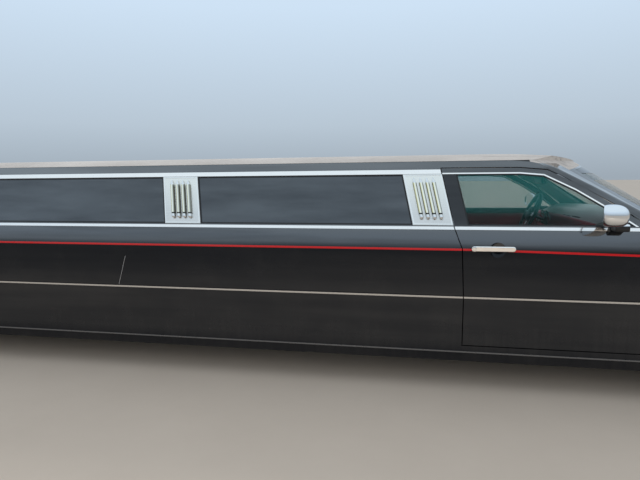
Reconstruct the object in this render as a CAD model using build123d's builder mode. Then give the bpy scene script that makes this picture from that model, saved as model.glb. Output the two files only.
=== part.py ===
"""Stretched full-size sedan: +X is forward, +Y is left, +Z is up, millimetres."""

from build123d import *
import os
from math import cos, radians, sin

os.makedirs("parts", exist_ok=True)

# Driving sizes of the whole car
BASE_WHEELBASE = 3052.0
STRETCH = 3556.0
WHEELBASE = BASE_WHEELBASE + STRETCH
FRONT_OVERHANG = 878.0
REAR_OVERHANG = 1114.0
LENGTH = WHEELBASE + FRONT_OVERHANG + REAR_OVERHANG
WAIST = 951.0
ROOF_TOP = 1500.0
FRONT_X = LENGTH / 2
REAR_X = -LENGTH / 2
FRONT_AXLE = FRONT_X - FRONT_OVERHANG
REAR_AXLE = REAR_X + REAR_OVERHANG

# Levels of the side, from the ground up
ROCKER_Z = 190.0
SILL_Z = 255.0
DOOR_BOTTOM_Z = 298.0
MOULDING_Z = 603.0
STRIPE_Z = 900.0
BELT_Z = 1036.0
GLASS_TOP_Z = 1353.0
CANT_Z = 1385.0
ROOF_EDGE_Z = 1435.0

# Half widths at those levels
ROCKER_Y = 925.0
SILL_Y = 942.0
SHOULDER_DROP = 6.0
BELT_Y = 915.0
CANT_Y = 765.0
ROOF_EDGE_Y = 690.0

# Skins, walls and gaps
DOOR_WALL = 95.0
FENDER_WALL = 42.0
LID_WALL = 32.0
FRAME_WALL = 36.0
GLASS = 5.0
GLASS_RECESS = 3.0
PANEL_GAP = 6.0
TRIM = 4.0
SHEAR = 0.25

# Wheels
TYRE_R = 358.0
TYRE_W = 235.0
RIM_R = 229.0
RIM_WALL = 12.0
TRACK_Y = 806.0
ARCH_GAP = 50.0
ARCH_R = TYRE_R + ARCH_GAP
KINGPIN_Y = 776.0
SPINDLE_R = 28.0
FIT = 0.05
HUB_R = 72.0
DISC_R = 165.0

# Bulkheads that split the body into engine bay, cabin and boot
FIREWALL_X = FRONT_AXLE - 522
SEATBACK_X = REAR_AXLE - 114
BULKHEAD = 30.0

# Door cuts, hinges and latches along the car, and levels that follow the tyres
FRONT_CUT_X = FRONT_AXLE - 1623
REAR_CUT_X = FRONT_CUT_X - STRETCH
HINGE_FRONT_X = FRONT_AXLE - 560
HINGE_REAR_X = REAR_CUT_X + 2
REAR_LATCH_X = REAR_AXLE + 406
REAR_DOOR_END_X = REAR_AXLE + 318
CUT_LEAN_X = 61.0
DRIVE_Z = TYRE_R - 23
TUNNEL_Z = DRIVE_Z + 95
SEAT_FLOOR_Z = TYRE_R + 42
REAR_FLOOR_Z = TYRE_R + 112


# One row per station along the body: x, half width at the rocker, at the waist and at the
# shoulder, the shoulder's height and the crown's height
STATIONS = (
    (FRONT_X + 20, 820, 872, 770, 800, 850),
    (FRONT_X - 380, 895, 930, 880, 912, 968),
    (FRONT_AXLE, 921, 949, 908, 975, 1024),
    (FRONT_AXLE - 560, ROCKER_Y, WAIST, BELT_Y, BELT_Z, 1056),
    (REAR_AXLE - 250, ROCKER_Y, WAIST, BELT_Y, BELT_Z, 1062),
    (REAR_AXLE - 700, 912, 940, 885, 1034, 1086),
    (REAR_X - 20, 850, 890, 815, 1026, 1080),
)


def body_envelope(side, top, bottom, ends):
    """The body below the belt, moved inward by an inset at its sides, top, bottom and ends."""
    with BuildPart() as body:
        for x, rocker, waist, shoulder, shoulder_z, crown_z in STATIONS:
            with BuildSketch(Plane.YZ.offset(x)):
                with BuildLine():
                    low = ROCKER_Z + bottom
                    edge = (shoulder - side, shoulder_z - top)
                    flank = (waist - SHOULDER_DROP - side, shoulder_z - (BELT_Z - STRIPE_Z) - top)
                    bulge = (shoulder - side + 19, shoulder_z - top - 62)
                    chine = [
                        (rocker - side, low),
                        (rocker + SILL_Y - ROCKER_Y - side, SILL_Z + bottom),
                        (waist - side, MOULDING_Z),
                        flank,
                    ]
                    Polyline(*chine)
                    ThreePointArc(flank, bulge, edge)
                    ThreePointArc(edge, (0, crown_z - top), (-edge[0], edge[1]))
                    ThreePointArc((-edge[0], edge[1]), (-bulge[0], bulge[1]), (-flank[0], flank[1]))
                    Polyline(*[(-a, b) for a, b in reversed(chine)])
                    Line((side - rocker, low), (rocker - side, low))
                make_face()
        loft(ruled=True)
        # Plan outline with a bowed nose and tail and rounded corners
        with BuildSketch(Plane.XY):
            with BuildLine():
                nose = FRONT_X - ends
                tail = REAR_X + ends
                broad = WAIST + 40
                ThreePointArc((nose - 130, -700), (nose, 0), (nose - 130, 700))
                Line((nose - 130, 700), (nose - 290, 862 - side))
                Line((nose - 290, 862 - side), (nose - 560, broad))
                Line((nose - 560, broad), (tail + 420, broad))
                Line((tail + 420, broad), (tail + 170, 862 - side))
                Line((tail + 170, 862 - side), (tail + 90, 740))
                ThreePointArc((tail + 90, 740), (tail, 0), (tail + 90, -740))
                Line((tail + 90, -740), (tail + 170, side - 862))
                Line((tail + 170, side - 862), (tail + 420, -broad))
                Line((tail + 420, -broad), (nose - 560, -broad))
                Line((nose - 560, -broad), (nose - 290, side - 862))
                Line((nose - 290, side - 862), (nose - 130, -700))
            make_face()
        extrude(amount=ROOF_TOP, mode=Mode.INTERSECT)
        # Side view of the nose and the tail
        with BuildSketch(Plane.XZ):
            with BuildLine():
                Polyline(
                    (nose - 70, ROCKER_Z),
                    (nose, 400),
                    (nose, 600),
                    (nose - 95, 890),
                    (nose - 95, ROOF_TOP),
                    (tail + 45, ROOF_TOP),
                    (tail + 45, 1060),
                    (tail, 640),
                    (tail, 430),
                    (tail + 90, ROCKER_Z),
                    close=True,
                )
            make_face()
        extrude(amount=WIDE, both=True, mode=Mode.INTERSECT)
    return body.part


WIDE = WAIST + 60

# One row per level of the greenhouse: z and half width, then behind the front axle the
# windshield's centre, its corner's x and y and the front of the side, then from the rear axle
# the rear window's centre, its corner's x and y and the rear of the side
LEVELS = (
    (BELT_Z, BELT_Y, 178, 422, 735, 552, -334, -199, 750, -4),
    (CANT_Z, CANT_Y, 733, 1002, 645, 1132, 241, 356, 620, 546),
    (ROOF_EDGE_Z, ROOF_EDGE_Y, 812, 1084, 600, 1202, 324, 434, 570, 616),
)

# Side view of the line where the roof skin meets the rails, behind the front axle
ROOF_LINE = ((1322, ROOF_EDGE_Z), (1222, 1426), (1092, 1394), (997, 1368), (782, 1418), (522, 1480))


def outline(level, inset):
    """Closed outline of the greenhouse at one level."""
    z, wide, front, ax, ay, bx, rear, dx, dy, cx = level
    w = wide - inset
    f = FRONT_AXLE - front - inset
    r = REAR_AXLE + rear + inset
    a = (FRONT_AXLE - ax - inset, ay - 0.4 * inset)
    b = (FRONT_AXLE - bx - 0.4 * inset, w)
    c = (REAR_AXLE + cx + 0.4 * inset, w)
    d = (REAR_AXLE + dx + inset, dy - 0.4 * inset)
    with BuildLine() as loop:
        ThreePointArc((a[0], -a[1]), (f, 0), a)
        Line(a, b)
        Line(b, c)
        Line(c, d)
        ThreePointArc(d, (r, 0), (d[0], -d[1]))
        Line((d[0], -d[1]), (c[0], -w))
        Line((c[0], -w), (b[0], -w))
        Line((b[0], -w), (a[0], -a[1]))
    return loop.edges()


def greenhouse(inset, top_inset, skirt):
    """The body above the belt, inset all round and at its top, with a skirt below the belt."""
    with BuildPart() as upper:
        for level in LEVELS:
            with BuildSketch(Plane.XY.offset(level[0])):
                make_face(outline(level, inset))
        loft(ruled=True)
        if skirt > 0:
            with BuildSketch(Plane.XY.offset(BELT_Z - skirt)):
                make_face(outline(LEVELS[0], inset))
            extrude(amount=skirt)
        # The roof's crown: an arched section within an arched side view
        with BuildSketch(Plane.XY.offset(ROOF_EDGE_Z)):
            make_face(outline(LEVELS[2], inset))
        extrude(amount=ROOF_TOP - ROOF_EDGE_Z)
        edge = ROOF_EDGE_Z - top_inset
        crown = ROOF_TOP - top_inset
        with BuildSketch(Plane.YZ.offset(FRONT_X)):
            with BuildLine():
                ThreePointArc((-460, crown - 16), (0, crown), (460, crown - 16))
                ThreePointArc((460, crown - 16), (590, crown - 36), (ROOF_EDGE_Y, edge))
                Polyline((ROOF_EDGE_Y, edge), (WIDE, edge), (WIDE, 0), (-WIDE, 0))
                Polyline((-WIDE, 0), (-WIDE, edge), (-ROOF_EDGE_Y, edge))
                ThreePointArc((-ROOF_EDGE_Y, edge), (-590, crown - 36), (-460, crown - 16))
            make_face()
        extrude(amount=-LENGTH, mode=Mode.INTERSECT)
        front = FRONT_AXLE - LEVELS[2][2]
        rear = REAR_AXLE + LEVELS[2][6]
        with BuildSketch(Plane.XZ):
            with BuildLine():
                Line((front - 900, crown), (rear + 1000, crown))
                ThreePointArc((rear + 1000, crown), (rear + 480, crown - 18), (rear, edge))
                Polyline((rear, edge), (rear - 1200, edge), (rear - 1200, 0), (front + 1200, 0))
                Polyline((front + 1200, 0), (front + 1200, edge), (front, edge))
                ThreePointArc((front, edge), (front - 400, crown - 22), (front - 900, crown))
            make_face()
        extrude(amount=WIDE, both=True, mode=Mode.INTERSECT)
    return upper.part


def side_y(z):
    """Half width of the car's side at a height, on its straight lines between the levels."""
    rows = (
        (ROCKER_Z, ROCKER_Y),
        (SILL_Z, SILL_Y),
        (MOULDING_Z, WAIST),
        (STRIPE_Z, WAIST - SHOULDER_DROP),
        (BELT_Z, BELT_Y),
        (CANT_Z, CANT_Y),
        (ROOF_EDGE_Z, ROOF_EDGE_Y),
    )
    for (z0, y0), (z1, y1) in zip(rows, rows[1:]):
        if z <= z1:
            return y0 + (y1 - y0) * (z - z0) / (z1 - z0)
    return ROOF_EDGE_Y


SIDE_PLANE = WAIST + TRIM
SIDE_DEPTH = SIDE_PLANE - 600


def sheared(points):
    """Side-view points, given on the skin, moved to the plane where their sheared cut starts."""
    return [(x - SHEAR * (SIDE_PLANE - side_y(z)), z) for x, z in points]


def side_cutter(points, grow):
    """Prism of a side-view outline, from the left side inward, its ends further forward inside."""
    with BuildPart() as cutter:
        with BuildSketch(Plane.XZ.offset(-SIDE_PLANE)):
            with BuildLine():
                Polyline(*sheared(points), close=True)
            make_face()
            if grow > 0:
                offset(amount=grow, kind=Kind.INTERSECTION)
        extrude(amount=SIDE_DEPTH * (1 + SHEAR**2) ** 0.5, dir=(SHEAR, -1, 0))
    return cutter.part


def block(x0, x1, y0, y1, z0, z1):
    """Plain box between two corners."""
    with BuildPart() as made:
        with BuildSketch(Plane.XY.offset(z0)):
            with Locations(((x0 + x1) / 2, (y0 + y1) / 2)):
                Rectangle(x1 - x0, y1 - y0)
        extrude(amount=z1 - z0)
    return made.part


# Side views of the doors and their glass, measured from the cut and the axle beside them
LEAN = 0.225
GLASS_BASE = BELT_Z + 4
GLASS_LEAN_X = LEAN * (GLASS_TOP_Z - GLASS_BASE)
DOOR_CUT = (
    (0, DOOR_BOTTOM_Z),
    (2, 592),
    (-11, STRIPE_Z),
    (-CUT_LEAN_X, BELT_Z),
    (-CUT_LEAN_X - LEAN * (CANT_Z + 4 - BELT_Z), CANT_Z + 4),
)
FRONT_DOOR = [(FRONT_CUT_X + x, z) for x, z in DOOR_CUT] + [
    (FRONT_AXLE - 1292, CANT_Z + 2),
    (FRONT_AXLE - 1132, 1371),
    (FRONT_AXLE - 960, 1283),
    (FRONT_AXLE - 782, 1166),
    (FRONT_AXLE - 622, BELT_Z + 18),
    (HINGE_FRONT_X, 960),
    (HINGE_FRONT_X, DOOR_BOTTOM_Z),
]
REAR_DOOR = [(REAR_CUT_X + x, z) for x, z in DOOR_CUT] + [
    (REAR_AXLE + 626, CANT_Z + 2),
    (REAR_AXLE + 546, 1352),
    (REAR_DOOR_END_X, BELT_Z + 10),
    (REAR_DOOR_END_X, STRIPE_Z),
    (REAR_AXLE + 448, 600),
    (REAR_AXLE + 448, DOOR_BOTTOM_Z),
]
FRONT_GLASS_X = FRONT_CUT_X + 18
REAR_GLASS_X = REAR_CUT_X - 96
FRONT_GLASS = [
    (FRONT_GLASS_X, GLASS_BASE),
    (FRONT_GLASS_X - GLASS_LEAN_X, GLASS_TOP_Z),
    (FRONT_AXLE - 1292, GLASS_TOP_Z - 1),
    (FRONT_AXLE - 1154, 1339),
    (FRONT_AXLE - 982, 1250),
    (FRONT_AXLE - 802, 1134),
    (FRONT_AXLE - 672, GLASS_BASE),
]
REAR_GLASS = [
    (REAR_GLASS_X, GLASS_BASE),
    (REAR_GLASS_X - GLASS_LEAN_X, GLASS_TOP_Z),
    (REAR_AXLE + 641, GLASS_TOP_Z - 1),
    (REAR_AXLE + 574, 1326),
    (REAR_AXLE + 380, GLASS_BASE),
]

# Opera panels and fixed windows between the doors: x at the belt of each edge
FRONT_POST_X = FRONT_CUT_X - CUT_LEAN_X - PANEL_GAP
REAR_POST_X = REAR_CUT_X - CUT_LEAN_X + PANEL_GAP
FRONT_PANEL = 244.0
REAR_PANEL = 241.0
MIDDLE_PANEL = 257.0
MIDDLE_X = (FRONT_CUT_X + REAR_CUT_X - MIDDLE_PANEL) / 2 - 71.5
PANELS = (
    (FRONT_POST_X - FRONT_PANEL, FRONT_POST_X),
    (MIDDLE_X, MIDDLE_X + MIDDLE_PANEL),
    (REAR_POST_X, REAR_POST_X + REAR_PANEL),
)
WINDOWS = ((PANELS[1][1], PANELS[0][0]), (PANELS[2][1], PANELS[1][0]))


def leaning(x0, x1, z0, z1):
    """Parallelogram in side view whose upright edges lean back like the door cut."""
    return [
        (x0 - LEAN * (z0 - BELT_Z), z0),
        (x1 - LEAN * (z0 - BELT_Z), z0),
        (x1 - LEAN * (z1 - BELT_Z), z1),
        (x0 - LEAN * (z1 - BELT_Z), z1),
    ]


def straight_cutter(points, depth):
    """Prism of a side-view outline, straight inward from the left side."""
    with BuildPart() as cutter:
        with BuildSketch(Plane.XZ.offset(-WIDE)):
            with BuildLine():
                Polyline(*points, close=True)
            make_face()
        extrude(amount=depth)
    return cutter.part


def band(outer, inner, region):
    """What lies between two envelopes within a region."""
    with BuildPart() as made:
        add(region)
        add(outer, mode=Mode.INTERSECT)
        add(inner, mode=Mode.SUBTRACT)
    return made.part


def right_of(part):
    """The mirror image of a left piece."""
    return mirror(part, about=Plane.XZ)


def save(part, node):
    """Label a finished piece and write it."""
    part.label = node
    export_step(part, "parts/" + node + ".step")
    print(node, len(part.solids()), "solids", round(part.volume / 1e6, 2), "litres")


def above_roof_line(drop):
    """All that lies over the roof skin's lower edge, with that edge lowered by a drop."""
    with BuildPart() as region:
        with BuildSketch(Plane.XZ):
            with BuildLine():
                edge = [(FRONT_AXLE - x, z - drop) for x, z in ROOF_LINE]
                high = 2 * ROOF_TOP
                Polyline((REAR_X, edge[0][1]), *edge, (edge[-1][0], high), (REAR_X, high), close=True)
            make_face()
        extrude(amount=WIDE, both=True)
    return region.part


HINGE_GAP = 0.3
HINGE_Z = ((410.0, 470.0), (770.0, 830.0))
LATCH_Z = (650.0, 690.0)


def hinge_leaves(points, front_x, latch_x):
    """Hinge leaves and striker that bridge the gap round a door, on the left side."""
    with BuildPart() as leaves:
        for z0, z1 in HINGE_Z:
            add(block(front_x - 20, front_x + 60, 870, 925, z0, z1))
        add(block(latch_x - 40, latch_x + 40, 880, 922, *LATCH_Z))
        add(side_cutter(points, PANEL_GAP), mode=Mode.INTERSECT)
        add(side_cutter(points, HINGE_GAP), mode=Mode.SUBTRACT)
    return leaves.part


def lid_hinges(x0, x1, y0, y1, z0, z1, plan):
    """Hinge leaves in the gap behind a lid's edge by the glass."""
    with BuildPart() as leaves:
        add(both_sides(x0, x1, y0, y1, z0, z1))
        add(lid_cutter(*plan, PANEL_GAP), mode=Mode.INTERSECT)
        add(lid_cutter(*plan, HINGE_GAP), mode=Mode.SUBTRACT)
    return leaves.part


# Envelopes of the whole body and of its inside
OPEN_BELOW = -80.0
lower_skin = body_envelope(0, 0, 0, 0)
upper_skin = greenhouse(0, 0, 0)
door_void = body_envelope(DOOR_WALL, -40, OPEN_BELOW, 0)
fender_void = body_envelope(FENDER_WALL, LID_WALL, OPEN_BELOW, FENDER_WALL)
upper_void = greenhouse(FRAME_WALL, FRAME_WALL, 60)
front_door_cut = side_cutter(FRONT_DOOR, 0)
rear_door_cut = side_cutter(REAR_DOOR, 0)
front_door_hole = side_cutter(FRONT_DOOR, PANEL_GAP)
rear_door_hole = side_cutter(REAR_DOOR, PANEL_GAP)

# Wheel arches, one cutter for the left side
with BuildPart() as arches:
    with BuildSketch(Plane.XZ.offset(-WIDE)):
        with Locations((FRONT_AXLE, TYRE_R), (REAR_AXLE, TYRE_R)):
            Circle(ARCH_R)
    extrude(amount=WIDE - 480)

# The left half of the cabin's shell: thick walls below the belt, frames above it
with BuildPart() as lower_half:
    add(block(SEATBACK_X, FIREWALL_X + 60, 400, WIDE, DOOR_BOTTOM_Z - PANEL_GAP, BELT_Z))
    add(lower_skin, mode=Mode.INTERSECT)
    add(door_void, mode=Mode.SUBTRACT)
with BuildPart() as upper_half:
    add(block(REAR_X, FRONT_X, 0, WIDE, BELT_Z, ROOF_TOP))
    add(upper_skin, mode=Mode.INTERSECT)
    add(upper_void, mode=Mode.SUBTRACT)
    add(above_roof_line(0), mode=Mode.SUBTRACT)

# Pull handles, each over a round hollow in its door's skin
HANDLE_LONG = 254.0
HANDLE_HIGH = 32.0
HANDLE_DEEP = 18.0
HANDLE_OUT = 36.0
HANDLE_Z = 906.0
HANDLE_INSET = 36.0
HANDLE_POST_ROOT = 20.0
CUP_R = 47.0
CUP_DEPTH = 22.0
CUP_DROP = 8.0
CUP_X = 156.0
REAR_HANDLE_X = REAR_DOOR_END_X + HANDLE_INSET
FRONT_HANDLE_X = FRONT_CUT_X + HANDLE_INSET

doors = {}
for name, cut, pane, handle_x in (
    ("front", front_door_cut, FRONT_GLASS, FRONT_HANDLE_X),
    ("rear", rear_door_cut, REAR_GLASS, REAR_HANDLE_X),
):
    opening = side_cutter(pane, 0)
    cup_ball = (CUP_R**2 + CUP_DEPTH**2) / (2 * CUP_DEPTH)
    cup_y = side_y(HANDLE_Z - CUP_DROP) + cup_ball - CUP_DEPTH
    with BuildPart() as door:
        add(cut)
        add(lower_half.part, mode=Mode.INTERSECT)
    with BuildPart() as frame:
        add(cut)
        add(upper_half.part, mode=Mode.INTERSECT)
        add(opening, mode=Mode.SUBTRACT)
        add(door.part)
        add(arches.part, mode=Mode.SUBTRACT)
        with Locations((handle_x + CUP_X, cup_y, HANDLE_Z - CUP_DROP)):
            Sphere(cup_ball, mode=Mode.SUBTRACT)
    doors[name] = frame.part
    save(frame.part, "door_" + name + "_left")
    save(right_of(frame.part), "door_" + name + "_right")

# Hood and boot lid in plan: x at the corners and the centre of the edge by the glass, half
# width there, then half width and x at the far end
HOOD_HINGE_X = FRONT_AXLE - 360
HOOD_BOW = 262.0
LID_BOW = 95.0
HOOD_SIDE_Y = 800.0
HOOD_NOSE_Y = 700.0
NOSE_Z = 862.0
LID_HINGE_X = REAR_AXLE - 289
LID_SIDE_Y = 700.0
LID_TAIL_Y = 632.0
LID_TAIL_Z = 770.0
BUMPER_Z = 700.0
FASCIA_X = FRONT_X - 450
TAIL_X = REAR_X + 400


def lid_cutter(corner, centre, near_y, far_x, far_y, low, grow):
    """Prism in plan of a lid with a curved edge by the glass, grown all round for its hole."""
    inward = grow if far_x > corner else -grow
    corner = corner - inward
    centre = centre - inward
    near_y = near_y + grow
    far_y = far_y + grow
    with BuildPart() as cutter:
        with BuildSketch(Plane.XY.offset(low - grow)):
            with BuildLine():
                ThreePointArc((corner, -near_y), (centre, 0), (corner, near_y))
                Polyline((corner, near_y), (far_x, far_y), (far_x, -far_y), (corner, -near_y))
            make_face()
        extrude(amount=ROOF_TOP - low)
    return cutter.part


hood_plan = (HOOD_HINGE_X, HOOD_HINGE_X + HOOD_BOW, HOOD_SIDE_Y, FRONT_X + 50, HOOD_NOSE_Y, NOSE_Z)
lid_plan = (LID_HINGE_X, LID_HINGE_X - LID_BOW, LID_SIDE_Y, REAR_X - 50, LID_TAIL_Y, LID_TAIL_Z)

# The thin shell of both ends, open below
with BuildPart() as end_shell:
    add(lower_skin)
    add(fender_void, mode=Mode.SUBTRACT)

with BuildPart() as hood:
    add(lid_cutter(*hood_plan, 0))
    add(end_shell.part, mode=Mode.INTERSECT)
save(hood.part, "hood")
with BuildPart() as trunk_lid:
    add(lid_cutter(*lid_plan, 0))
    add(end_shell.part, mode=Mode.INTERSECT)
save(trunk_lid.part, "trunk_lid")

# Front fascia, grille and headlamps share one opening each in the shell
GRILLE_Y = 372.0
GRILLE_Z = (548.0, 846.0)
INTAKE_Y = 430.0
INTAKE_Z = (300.0, 440.0)
LAMP_Y = (462.0, 900.0)
LAMP_Z = (706.0, 848.0)
LAMP_X = FRONT_X - 345
TAIL_LAMP_Y = 664.0
TAIL_LAMP_Z = (712.0, 1000.0)
TAIL_LAMP_X = REAR_X + 190
TIP_Y = 540.0
TIP_Z = 262.0
TIP_R = 42.0
FOG_Y = 640.0
FOG_Z = 395.0
FOG_R = 52.0
PLATE_HOLE_Y = 89.0
PLATE_HOLE_R = 3.0
FRONT_PLATE_Z = 495.0
REAR_PLATE_Z = 560.0


def both_sides(x0, x1, y0, y1, z0, z1):
    """The same box on the left and on the right."""
    with BuildPart() as pair:
        add(block(x0, x1, y0, y1, z0, z1))
        mirror(about=Plane.XZ)
    return pair.part


grille_box = block(FASCIA_X, FRONT_X, -GRILLE_Y, GRILLE_Y, *GRILLE_Z)
lamp_box = both_sides(LAMP_X, FRONT_X, *LAMP_Y, *LAMP_Z)
tail_box = both_sides(REAR_X, TAIL_LAMP_X, TAIL_LAMP_Y, WIDE, *TAIL_LAMP_Z)

with BuildPart() as front_bumper:
    add(block(FASCIA_X, FRONT_X, -WIDE, WIDE, ROCKER_Z, BUMPER_Z))
    add(block(LAMP_X, FRONT_X, -LAMP_Y[0], LAMP_Y[0], BUMPER_Z, NOSE_Z - PANEL_GAP))
    add(end_shell.part, mode=Mode.INTERSECT)
    add(grille_box, mode=Mode.SUBTRACT)
    add(block(FASCIA_X, FRONT_X, -INTAKE_Y, INTAKE_Y, *INTAKE_Z), mode=Mode.SUBTRACT)
    add(arches.part, mode=Mode.SUBTRACT)
    add(right_of(arches.part), mode=Mode.SUBTRACT)
    with Locations(Plane.YZ.offset(FRONT_X)):
        with Locations((FOG_Y, FOG_Z), (-FOG_Y, FOG_Z)):
            Cylinder(FOG_R, 600, mode=Mode.SUBTRACT)
        with Locations((PLATE_HOLE_Y, FRONT_PLATE_Z), (-PLATE_HOLE_Y, FRONT_PLATE_Z)):
            Cylinder(PLATE_HOLE_R, 160, mode=Mode.SUBTRACT)
save(front_bumper.part, "front_bumper")

# Grille: a frame round upright bars, set in the fascia's opening
BAR_COUNT = 17
BAR = 12.0
GRILLE_FRAME = 26.0
GRILLE_DEPTH = 60.0
with BuildPart() as grille:
    with BuildSketch(Plane.YZ.offset(FRONT_X - 160)):
        middle_z = sum(GRILLE_Z) / 2
        high = GRILLE_Z[1] - GRILLE_Z[0]
        with Locations((0, middle_z)):
            Rectangle(2 * GRILLE_Y, high)
            Rectangle(2 * (GRILLE_Y - GRILLE_FRAME), high - 2 * GRILLE_FRAME, mode=Mode.SUBTRACT)
            with GridLocations(2 * (GRILLE_Y - GRILLE_FRAME) / (BAR_COUNT + 1), 0, BAR_COUNT, 1):
                Rectangle(BAR, high - GRILLE_FRAME)
            Rectangle(2 * GRILLE_Y - GRILLE_FRAME, BAR)
    extrude(amount=200)
    add(lower_skin, mode=Mode.INTERSECT)
save(grille.part, "grille")

with BuildPart() as headlamps:
    add(lamp_box)
    add(end_shell.part, mode=Mode.INTERSECT)
save(headlamps.part, "headlamps")
with BuildPart() as tail_lamps:
    add(tail_box)
    add(end_shell.part, mode=Mode.INTERSECT)
save(tail_lamps.part, "tail_lamps")

with BuildPart() as rear_bumper:
    add(block(REAR_X, TAIL_X, -WIDE, WIDE, ROCKER_Z, BUMPER_Z))
    add(end_shell.part, mode=Mode.INTERSECT)
    add(arches.part, mode=Mode.SUBTRACT)
    add(right_of(arches.part), mode=Mode.SUBTRACT)
    with Locations(Plane.YZ.offset(REAR_X)):
        with Locations((TIP_Y, TIP_Z), (-TIP_Y, TIP_Z)):
            Cylinder(TIP_R + 12, 700, mode=Mode.SUBTRACT)
        with Locations((PLATE_HOLE_Y, REAR_PLATE_Z), (-PLATE_HOLE_Y, REAR_PLATE_Z)):
            Cylinder(PLATE_HOLE_R, 160, mode=Mode.SUBTRACT)
save(rear_bumper.part, "rear_bumper")

# Cowl between the hood and the glass
COWL_Z = 940.0
COWL_Y = 780.0
COWL_END_X = HOOD_HINGE_X + HOOD_BOW + 10
with BuildPart() as cowl:
    add(block(FIREWALL_X + BULKHEAD, COWL_END_X, -COWL_Y, COWL_Y, COWL_Z, ROOF_TOP))
    add(end_shell.part, mode=Mode.INTERSECT)
    add(lid_cutter(*hood_plan, PANEL_GAP), mode=Mode.SUBTRACT)
    add(upper_skin, mode=Mode.SUBTRACT)
    add(lid_hinges(HOOD_HINGE_X - 20, HOOD_HINGE_X + 80, 660, 740, 1012, 1028, hood_plan))
save(cowl.part, "cowl")

# Fenders ahead of the front doors
with BuildPart() as front_fenders:
    add(both_sides(HINGE_FRONT_X - 60, FRONT_X, 400, WIDE, ROCKER_Z, BELT_Z + 40))
    add(end_shell.part, mode=Mode.INTERSECT)
    add(lid_cutter(*hood_plan, PANEL_GAP), mode=Mode.SUBTRACT)
    add(block(0, COWL_END_X, -COWL_Y, COWL_Y, ROCKER_Z, ROOF_TOP), mode=Mode.SUBTRACT)
    add(block(FASCIA_X, FRONT_X, -WIDE, WIDE, ROCKER_Z, BUMPER_Z), mode=Mode.SUBTRACT)
    add(block(LAMP_X, FRONT_X, -LAMP_Y[0], LAMP_Y[0], BUMPER_Z, NOSE_Z), mode=Mode.SUBTRACT)
    add(lamp_box, mode=Mode.SUBTRACT)
    add(upper_skin, mode=Mode.SUBTRACT)
    for arch in (arches.part, right_of(arches.part)):
        add(arch, mode=Mode.SUBTRACT)
    for hole in (front_door_hole, right_of(front_door_hole)):
        add(hole, mode=Mode.SUBTRACT)
    add(hinge_leaves(FRONT_DOOR, HINGE_FRONT_X, FRONT_X))
    add(right_of(hinge_leaves(FRONT_DOOR, HINGE_FRONT_X, FRONT_X)))
save(front_fenders.part, "front_fenders")

# Rear quarters with the shelf under the rear window
with BuildPart() as rear_quarters:
    add(block(REAR_X, REAR_CUT_X - 400, -WIDE, WIDE, ROCKER_Z, BELT_Z + 60))
    add(end_shell.part, mode=Mode.INTERSECT)
    add(lid_cutter(*lid_plan, PANEL_GAP), mode=Mode.SUBTRACT)
    add(block(REAR_X, TAIL_X, -WIDE, WIDE, ROCKER_Z, BUMPER_Z), mode=Mode.SUBTRACT)
    add(block(SEATBACK_X + 40, 0, -WIDE, WIDE, ROCKER_Z, DOOR_BOTTOM_Z - PANEL_GAP), mode=Mode.SUBTRACT)
    add(block(SEATBACK_X, 0, -COWL_Y, COWL_Y, BELT_Z - 120, ROOF_TOP), mode=Mode.SUBTRACT)
    add(tail_box, mode=Mode.SUBTRACT)
    add(upper_skin, mode=Mode.SUBTRACT)
    for arch in (arches.part, right_of(arches.part)):
        add(arch, mode=Mode.SUBTRACT)
    for hole in (rear_door_hole, right_of(rear_door_hole)):
        add(hole, mode=Mode.SUBTRACT)
    latch = hinge_leaves(REAR_DOOR, FRONT_X, REAR_LATCH_X)
    add(latch)
    add(right_of(latch))
    add(lid_hinges(LID_HINGE_X - 60, LID_HINGE_X + 20, 560, 640, 1024, 1040, lid_plan))
save(rear_quarters.part, "rear_quarters")

# Side panels of the stretch
with BuildPart() as side_panel:
    add(block(REAR_CUT_X - 60, FRONT_CUT_X + 60, 400, WIDE, DOOR_BOTTOM_Z - PANEL_GAP, BELT_Z))
    add(lower_half.part, mode=Mode.INTERSECT)
    add(front_door_hole, mode=Mode.SUBTRACT)
    add(rear_door_hole, mode=Mode.SUBTRACT)
    add(hinge_leaves(REAR_DOOR, HINGE_REAR_X, FRONT_X))
    add(hinge_leaves(FRONT_DOOR, REAR_X, FRONT_CUT_X))
with BuildPart() as side_panels:
    add(side_panel.part)
    mirror(about=Plane.XZ)
save(side_panels.part, "side_panels")

# Sills under the doors and the stretch
SILL_INNER_Y = 780.0
SILL_FRONT_X = FRONT_AXLE - ARCH_R + 30
SILL_REAR_X = REAR_AXLE + ARCH_R - 30
with BuildPart() as sills:
    add(both_sides(SILL_REAR_X, SILL_FRONT_X, SILL_INNER_Y, WIDE, ROCKER_Z, DOOR_BOTTOM_Z - PANEL_GAP))
    add(lower_skin, mode=Mode.INTERSECT)
    for arch in (arches.part, right_of(arches.part)):
        add(arch, mode=Mode.SUBTRACT)
    add(front_fenders.part, mode=Mode.SUBTRACT)
save(sills.part, "sills")

# Roof skin above the ditch and the rails, posts and pillars below it
ROOF_SKIN = 22.0
with BuildPart() as roof:
    add(above_roof_line(0))
    add(upper_skin, mode=Mode.INTERSECT)
    add(greenhouse(ROOF_SKIN, ROOF_SKIN, 0), mode=Mode.SUBTRACT)
save(roof.part, "roof")

# Front view of the openings for the windshield and the rear window
SHIELD = ((BELT_Z + 3, 712.0), (ROOF_EDGE_Z - 12, 568.0))
BACKLIGHT = ((BELT_Z + 3, 726.0), (ROOF_EDGE_Z - 12, 548.0))


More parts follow.
